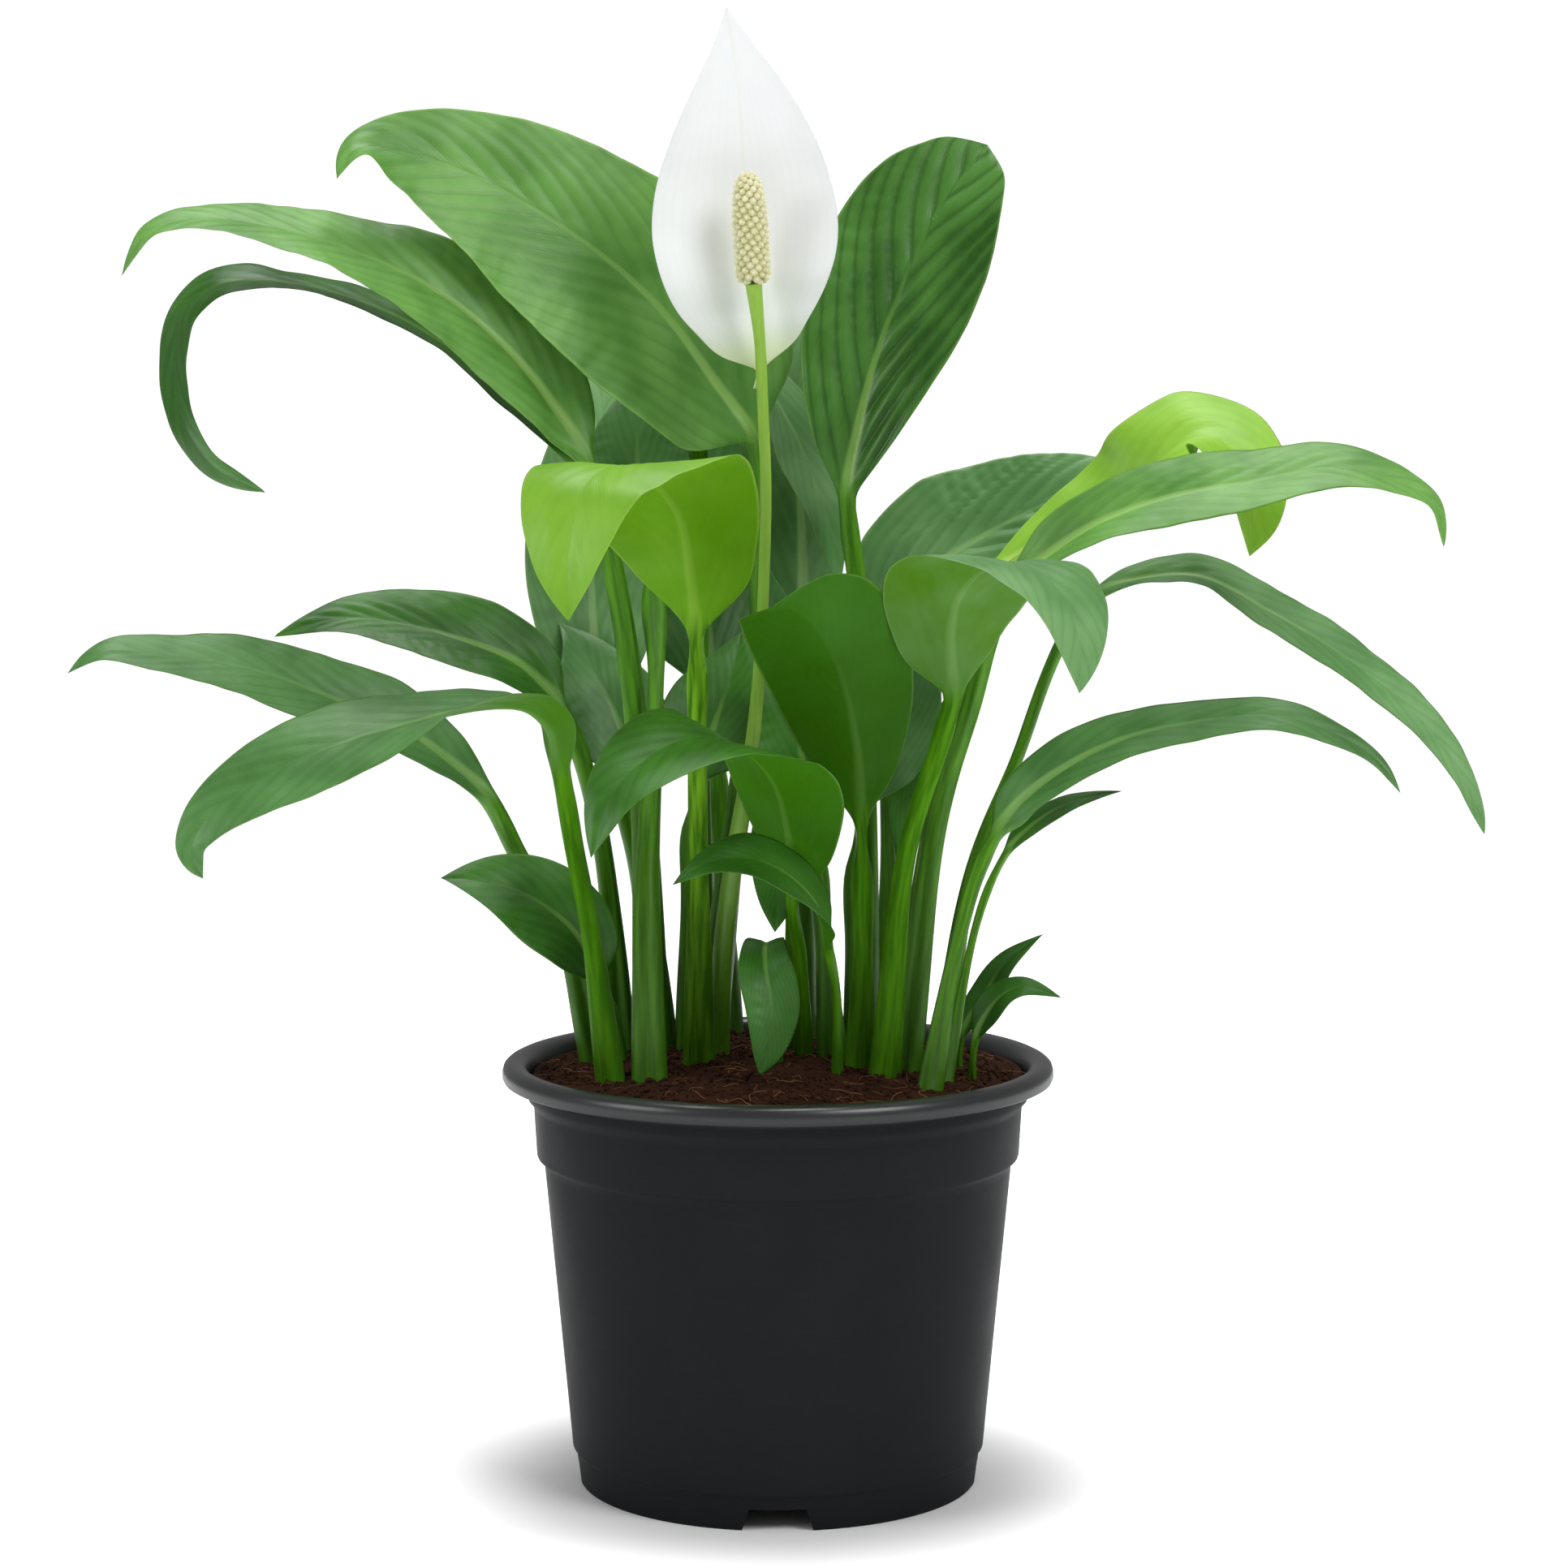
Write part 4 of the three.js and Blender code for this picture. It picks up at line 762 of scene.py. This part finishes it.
bpy.ops.object.shade_smooth_by_angle(angle=math.radians(32))
print("pot with notches", len(pot.data.polygons), "faces")

# %% [markdown]
# ### Pot finish
# Recycled polypropylene with carbon black has an index near 1.49 and comes out of the mould satin.
# The wall has a fine grain that scatters its shine, and handling polishes the rim. There are faint
# scuffs that run round the pot and a few specks of dust.

# %% Black polypropylene
finish, tree, shader = new_finish("pot_black_polypropylene", **{"IOR": 1.49})
place = add(tree, "ShaderNodeTexCoord").outputs["Object"]
# Cloudy wear 25 mm across, a moulded grain of 0.5 mm, and scuffs that run round the pot.
clouds = add(tree, "ShaderNodeTexNoise", {"Vector": place, "Scale": 40, "Detail": 4}).outputs["Fac"]
grain = add(tree, "ShaderNodeTexNoise", {"Vector": place, "Scale": 1800, "Detail": 2}).outputs["Fac"]
flat_place = add(tree, "ShaderNodeMapping", {"Vector": place, "Scale": (60, 60, 900)}).outputs[0]
scuffs = add(tree, "ShaderNodeTexNoise", {"Vector": flat_place, "Scale": 1, "Detail": 5}).outputs["Fac"]
scuffed = add(tree, "ShaderNodeMapRange", {0: scuffs, 1: 0.62, 2: 0.75, 3: 0.0, 4: 0.35}).outputs[0]
height = add(tree, "ShaderNodeSeparateXYZ", {0: place}).outputs["Z"]
rim = add(tree, "ShaderNodeMapRange", {0: height, 1: 0.138, 2: 0.146}).outputs[0]
black = add(tree, "ShaderNodeMix", {0: clouds, 6: colour("#1b1c1e"), 7: colour("#212224")},
            **TINT).outputs[2]
black = add(tree, "ShaderNodeMix", {0: rim, 6: black, 7: colour("#1e1f21")}, **TINT).outputs[2]
black = add(tree, "ShaderNodeMix", {0: scuffed, 6: black, 7: colour("#242628")}, **TINT).outputs[2]
# Specks of dust: one cell in seven of a 14 mm pattern holds a dot up to 1 mm wide.
cells = add(tree, "ShaderNodeTexVoronoi", {"Vector": place, "Scale": 70})
dot = add(tree, "ShaderNodeMath", {0: cells.outputs["Distance"], 1: 0.035}, operation="LESS_THAN").outputs[0]
draw = add(tree, "ShaderNodeSeparateColor", {0: cells.outputs["Color"]}).outputs[0]
few = add(tree, "ShaderNodeMath", {0: draw, 1: 0.86}, operation="GREATER_THAN").outputs[0]
speck = add(tree, "ShaderNodeMath", {0: dot, 1: few}, operation="MULTIPLY").outputs[0]
black = add(tree, "ShaderNodeMix", {0: speck, 6: black, 7: colour("#a9a49a")}, **TINT).outputs[2]
tree.links.new(black, shader.inputs["Base Color"])
satin = add(tree, "ShaderNodeMapRange", {0: clouds, 1: 0.3, 2: 0.7, 3: 0.42, 4: 0.52}).outputs[0]
satin = add(tree, "ShaderNodeMix", {0: rim, 2: satin, 3: 0.3}, data_type="FLOAT").outputs[0]
tree.links.new(satin, shader.inputs["Roughness"])
shine = add(tree, "ShaderNodeMapRange", {0: rim, 3: 0.03, 4: 0.8}).outputs[0]
tree.links.new(shine, shader.inputs["Specular IOR Level"])
texture = add(tree, "ShaderNodeMix", {0: 0.4, 2: grain, 3: scuffs}, data_type="FLOAT").outputs[0]
bump = add(tree, "ShaderNodeBump", {"Height": texture, "Strength": 0.25, "Distance": 0.15 * MM})
tree.links.new(bump.outputs[0], shader.inputs["Normal"])
hand_over(pot, finish, slot_of["nursery_pot"], "nursery_pot")

# %% [markdown]
# ## The potting soil
# Peat and coir crumbs fill the pot to just under the rim and heap up a little round the stalks. The
# body is drawn like the pot, as a plug that follows the wall, and its top is inset ring by ring.
# Two Displace modifiers with cloud textures make lumps of 10 mm and crumbs of 2 mm.

# %% Soil plug
SOIL_OUTLINE = [[68.2, 10.8], [70.2, 13.5], [78.3, 110.4], [78.5, 113.5], [80.8, 115.6], [81.9, 131.4],
                [83.8, 135.3], [84.3, 142.5]]
CROWN, EDGE, SOIL_RADIUS = 148, 142.5, 84.3
HEAP_CURVE = 1.6  # 1 would be a cone, 2 a dome
bpy.ops.object.select_all(action="DESELECT")
bpy.ops.mesh.primitive_circle_add(vertices=96, radius=SOIL_OUTLINE[0][0] * MM, fill_type="NGON",
                                  location=(0, 0, SOIL_OUTLINE[0][1] * MM))
soil = bpy.context.object
soil.name = "soil_bed"
bpy.ops.object.transform_apply(location=True, rotation=False, scale=False)
bpy.ops.object.mode_set(mode="EDIT")
bpy.ops.mesh.select_all(action="SELECT")
for (r0, z0), (r1, z1) in zip(SOIL_OUTLINE, SOIL_OUTLINE[1:]):
    bpy.ops.mesh.extrude_region_move(TRANSFORM_OT_translate={"value": (0, 0, (z1 - z0) * MM)})
    bpy.ops.transform.resize(value=(r1 / r0, r1 / r0, 1), center_override=(0, 0, z1 * MM))


def heap(radius):
    return CROWN + (EDGE - CROWN) * (radius / SOIL_RADIUS) ** HEAP_CURVE


SOIL_RINGS = 28
for ring in range(1, SOIL_RINGS):
    outer = SOIL_RADIUS * (1 - (ring - 1) / SOIL_RINGS)
    inner = SOIL_RADIUS * (1 - ring / SOIL_RINGS)
    rise = (heap(inner) - heap(outer)) * MM
    shrink = inner / outer
    bpy.ops.mesh.extrude_region_move(TRANSFORM_OT_translate={"value": (0, 0, rise)})
    bpy.ops.transform.resize(value=(shrink, shrink, 1), center_override=(0, 0, heap(inner) * MM))
bpy.ops.mesh.poke()
bpy.ops.object.vertex_group_add()
# Only the top moves: the strip that touches the pot and the wall below it stay as they are.
TOP_ABOVE, TOP_REACH = 141.5 * MM, 82.5 * MM
points = bmesh.from_edit_mesh(soil.data)
for vert in points.verts:
    vert.select = vert.co.z > TOP_ABOVE and vert.co.xy.length < TOP_REACH
points.select_flush(True)
bmesh.update_edit_mesh(soil.data)
bpy.ops.object.vertex_group_assign()
bpy.ops.mesh.select_all(action="SELECT")
bpy.ops.mesh.normals_make_consistent(inside=False)
bpy.ops.object.mode_set(mode="OBJECT")
print("soil plug", len(soil.data.polygons), "faces")

# %% Lumps and crumbs in the surface
finer = soil.modifiers.new("finer", "SUBSURF")
finer.subdivision_type, finer.levels, finer.render_levels = "SIMPLE", 2, 2
for name, size, strength in (("lumps", 10 * MM, 2.6 * MM), ("crumbs", 2.2 * MM, 1.7 * MM)):
    pattern = bpy.data.textures.new(name, "CLOUDS")
    pattern.noise_scale, pattern.noise_depth = size, 2
    push = soil.modifiers.new(name, "DISPLACE")
    push.texture, push.texture_coords, push.direction = pattern, "LOCAL", "Z"
    push.strength, push.mid_level, push.vertex_group = strength, 0.5, soil.vertex_groups[0].name
bpy.ops.object.select_all(action="DESELECT")
bpy.context.view_layer.objects.active = soil
soil.select_set(True)
for modifier in list(soil.modifiers):
    bpy.ops.object.modifier_apply(modifier=modifier.name)
bpy.ops.object.shade_smooth()
store(soil, "shade", np.full(len(soil.data.vertices), 0.35))
print("soil bed", len(soil.data.polygons), "faces")

# %% [markdown]
# ### Loose crumbs and fibres
# What makes soil read as soil is what lies loose on it: crumbs some 1 to 3 mm across, and coir fibres
# as thin as thread. A particle system could strew them, but here a fixed seed gives the same bed each
# time. One twenty-sided crumb is copied, and each copy is turned, squashed and shaded on its own. Each
# fibre is a short bent strand. A ray from above finds the bed under every one of them.

# %% Scatter crumbs
CRUMBS, CRUMB_REACH = 3400, 82 * MM
SMALL_CRUMB, LARGE_CRUMB = 0.45 * MM, 1.7 * MM  # radius
WELL_ABOVE = 300 * MM
chance = np.random.default_rng(21)


def bed_height(x, y):
    found, where, _, _ = soil.ray_cast((x, y, WELL_ABOVE), (0, 0, -1))
    return where.z if found else None


def random_turn():
    turned_axes, _ = np.linalg.qr(chance.normal(size=(3, 3)))
    return turned_axes


crumb, crumb_faces = ico(1)
parts = []
for _ in range(CRUMBS):
    radius, turn = CRUMB_REACH * math.sqrt(chance.random()), 2 * math.pi * chance.random()
    x, y = radius * math.cos(turn), radius * math.sin(turn)
    z = bed_height(x, y)
    if z is None:
        continue
    size = min(SMALL_CRUMB * math.exp(0.55 * abs(chance.normal())), LARGE_CRUMB)
    squashed = crumb * (1 + 0.5 * (chance.random((len(crumb), 1)) - 0.5)) * [1, 0.8, 0.65]
    axes = random_turn()
    faces = crumb_faces if np.linalg.det(axes) > 0 else crumb_faces[:, ::-1]
    parts.append((squashed @ axes * size + [x, y, z + 0.25 * size], faces, chance.random()))
print(len(parts), "crumbs")

# %% Scatter fibres
FIBRES, FIBRE_REACH = 170, 78 * MM
FIBRE_LIFT, FIBRE_ARCH = 0.35 * MM, 0.5 * MM
BED_LEVEL = 143 * MM  # for a point with no bed under it
SPANS, FIBRE_SIDES = 7, 4
for _ in range(FIBRES):
    radius, turn = FIBRE_REACH * math.sqrt(chance.random()), 2 * math.pi * chance.random()
    at = np.array([radius * math.cos(turn), radius * math.sin(turn), 0.0])
    heading, bend = 2 * math.pi * chance.random(), chance.normal() * 0.28
    step, thin = (0.8 + 1.4 * chance.random()) * MM, (0.09 + 0.1 * chance.random()) * MM
    points = []
    for span in range(SPANS + 1):
        z = bed_height(at[0], at[1])
        level = (z if z else BED_LEVEL) + FIBRE_LIFT + FIBRE_ARCH * math.sin(math.pi * span / SPANS)
        side = np.array([-math.sin(heading), math.cos(heading), 0])
        for corner in range(FIBRE_SIDES):
            angle = 2 * math.pi * corner / FIBRE_SIDES
            points.append([*(at + side * math.cos(angle) * thin)[:2], level + math.sin(angle) * thin])
        at = at + step * np.array([math.cos(heading), math.sin(heading), 0])
        heading += bend
    last = FIBRE_SIDES * SPANS
    faces = [[0, 1, 2, 3], [last + 3, last + 2, last + 1, last]]
    for low in range(0, last, FIBRE_SIDES):
        high = low + FIBRE_SIDES
        for i in range(FIBRE_SIDES):
            j = (i + 1) % FIBRE_SIDES
            faces.append([low + i, high + i, high + j, low + j])
    parts.append((np.array(points), faces, 1.3 + 0.4 * chance.random()))
litter = gather("soil_crumbs", parts)
print("crumbs and fibres", len(litter.data.polygons), "faces")

# %% [markdown]
# ### Soil finish
# Moist peat is dark red-brown and nearly matt, and darker still in damp patches. Each crumb keeps its
# own shade, and the fibres are the paler brown of coconut husk. The shade is kept on the mesh, so that
# one material serves the bed and all that lies on it.

# %% Moist peat
finish, tree, shader = new_finish(
    "soil_moist_peat",
    **{"IOR": 1.4, "Roughness": 0.85, "Specular IOR Level": 0.15},
)
shade = add(tree, "ShaderNodeAttribute", attribute_name="shade").outputs["Fac"]
place = add(tree, "ShaderNodeTexCoord").outputs["Object"]
# Grains 1 mm across, and damp patches of 17 mm.
grains = add(tree, "ShaderNodeTexNoise", {"Vector": place, "Scale": 900, "Detail": 5}).outputs["Fac"]
damp = add(tree, "ShaderNodeTexNoise", {"Vector": place, "Scale": 60, "Detail": 2}).outputs["Fac"]
brown = add(tree, "ShaderNodeMix", {0: grains, 6: colour("#170b07"), 7: colour("#432517")},
            **TINT).outputs[2]
own = add(tree, "ShaderNodeMapRange", {0: shade, 1: 0.0, 2: 1.0, 3: 0.0, 4: 0.75}).outputs[0]
brown = add(tree, "ShaderNodeMix", {0: own, 6: brown, 7: colour("#4c2c1d")}, **TINT).outputs[2]
fibre = add(tree, "ShaderNodeMapRange", {0: shade, 1: 1.1, 2: 1.4}).outputs[0]
brown = add(tree, "ShaderNodeMix", {0: fibre, 6: brown, 7: colour("#8a6242")}, **TINT).outputs[2]
wet = add(tree, "ShaderNodeMapRange", {0: damp, 1: 0.4, 2: 0.65, 3: 0.45, 4: 0.0}).outputs[0]
brown = add(tree, "ShaderNodeMix", {0: wet, 6: brown, 7: colour("#1a0f0a")}, **TINT).outputs[2]
tree.links.new(brown, shader.inputs["Base Color"])
bump = add(tree, "ShaderNodeBump", {"Height": grains, "Strength": 0.8, "Distance": 0.5 * MM})
tree.links.new(bump.outputs[0], shader.inputs["Normal"])
hand_over(soil, finish, slot_of["potting_soil"], "potting_soil")
hand_over(litter, finish, slot_of["potting_soil"])

# %% [markdown]
# ## Studio
# The plant stands on a round table of white acrylic that glows faintly, as if lit from below, so that
# it stays white. The glow is left out round the pot, and that gap paints a shadow round its foot on top
# of the pot's own. A wide soft light hangs overhead, with a weaker one at the front right and another
# at the left. The room looks white near the horizon, so that table and room meet without a line, but
# it gives less light than it shows, and the leaves keep a dark side.

# %% Floor
TABLE_RADIUS = 1.7
bpy.ops.object.select_all(action="DESELECT")
bpy.ops.mesh.primitive_circle_add(vertices=96, radius=TABLE_RADIUS, fill_type="NGON")
floor = bpy.context.object
floor.name = "studio_floor"
finish, tree, shader = new_finish(
    "table_white_acrylic",
    **{"Roughness": 0.9, "Specular IOR Level": 0.1, "Emission Color": (1, 1, 1, 1)},
)
place = add(tree, "ShaderNodeTexCoord").outputs["Object"]
cloudy = add(tree, "ShaderNodeTexNoise", {"Vector": place, "Scale": 300}).outputs["Fac"]
white = add(tree, "ShaderNodeMix", {0: cloudy, 6: colour("#fbfbfb"), 7: colour("#fdfdfd")},
            **TINT).outputs[2]
tree.links.new(white, shader.inputs["Base Color"])
# The glow fades out between 135 and 74 mm from the pot's axis, which paints a shadow round the foot, added
# to the pot's own soft shadow.
reach = add(tree, "ShaderNodeVectorMath", {0: place}, operation="LENGTH").outputs["Value"]
glow_cut_for_painted_shadow = add(tree, "ShaderNodeMapRange", {0: reach, 1: 0.074, 2: 0.135, 3: 0.0, 4: 0.5},
           **EASED).outputs[0]
tree.links.new(glow_cut_for_painted_shadow, shader.inputs["Emission Strength"])
floor.data.materials.append(finish)

# %% Sky and lights
world = bpy.data.worlds.new("studio_sky")
bpy.context.scene.world = world
world.use_nodes = True
tree = world.node_tree
tree.nodes.clear()
direction = add(tree, "ShaderNodeTexCoord").outputs["Generated"]
up = add(tree, "ShaderNodeSeparateXYZ", {0: direction}).outputs["Z"]
shown = add(tree, "ShaderNodeMapRange", {0: up, 1: 0.14, 2: 0.42, 3: 1.03, 4: 0.4}).outputs[0]
seen = add(tree, "ShaderNodeLightPath").outputs["Is Camera Ray"]
strength = add(tree, "ShaderNodeMix", {0: seen, 2: 0.3, 3: shown}, data_type="FLOAT").outputs[0]
sky = add(tree, "ShaderNodeBackground", {"Color": (1, 1, 1, 1), "Strength": strength})
add(tree, "ShaderNodeOutputWorld", {"Surface": sky.outputs[0]})


LIT_POINT = [0, 0, 0.28]  # the middle of the plant, where every light aims


def soft_light(name, place, size, power):
    data = bpy.data.lights.new(name, "AREA")
    data.shape, data.size, data.energy = "DISK", size, power
    light = bpy.data.objects.new(name, data)
    bpy.context.scene.collection.objects.link(light)
    light.location = place
    aim = np.array(LIT_POINT) - np.array(place)
    light.rotation_euler = (math.atan2(math.hypot(aim[0], aim[1]), -aim[2]), 0,
                            math.atan2(aim[1], aim[0]) - math.pi / 2)


soft_light("key_light", (1.2, -1.2, 1.7), 1.1, 20)
soft_light("fill_light", (-1.6, -0.8, 1.0), 0.9, 9)
soft_light("top_light", (0.0, 0.2, 2.6), 1.7, 45)
bpy.context.scene.view_settings.view_transform = "Standard"
print("three soft lights")

# %% [markdown]
# ## Camera
# A long lens, 87 mm on a full frame, stands 1.3 m in front of the plant and 0.37 m above the table, and
# looks down by 5.5 degrees. A shorter lens, closer by, would spread the near leaves too wide.

# %% Camera
SENSOR_WIDTH = 36  # mm
FOCAL_LENGTH, FRAME_WIDTH = 4690, 1932  # only their ratio counts
LOOK_DOWN = 5.53  # degrees
lens = bpy.data.cameras.new("camera")
lens.lens = SENSOR_WIDTH * FOCAL_LENGTH / FRAME_WIDTH
lens.sensor_width = SENSOR_WIDTH
camera = bpy.data.objects.new("camera", lens)
bpy.context.scene.collection.objects.link(camera)
camera.location = (0.0021, -1.3, 0.368)
camera.rotation_euler = (math.radians(90 - LOOK_DOWN), 0, 0)
bpy.context.scene.camera = camera
print("camera", tuple(round(c, 3) for c in camera.location))
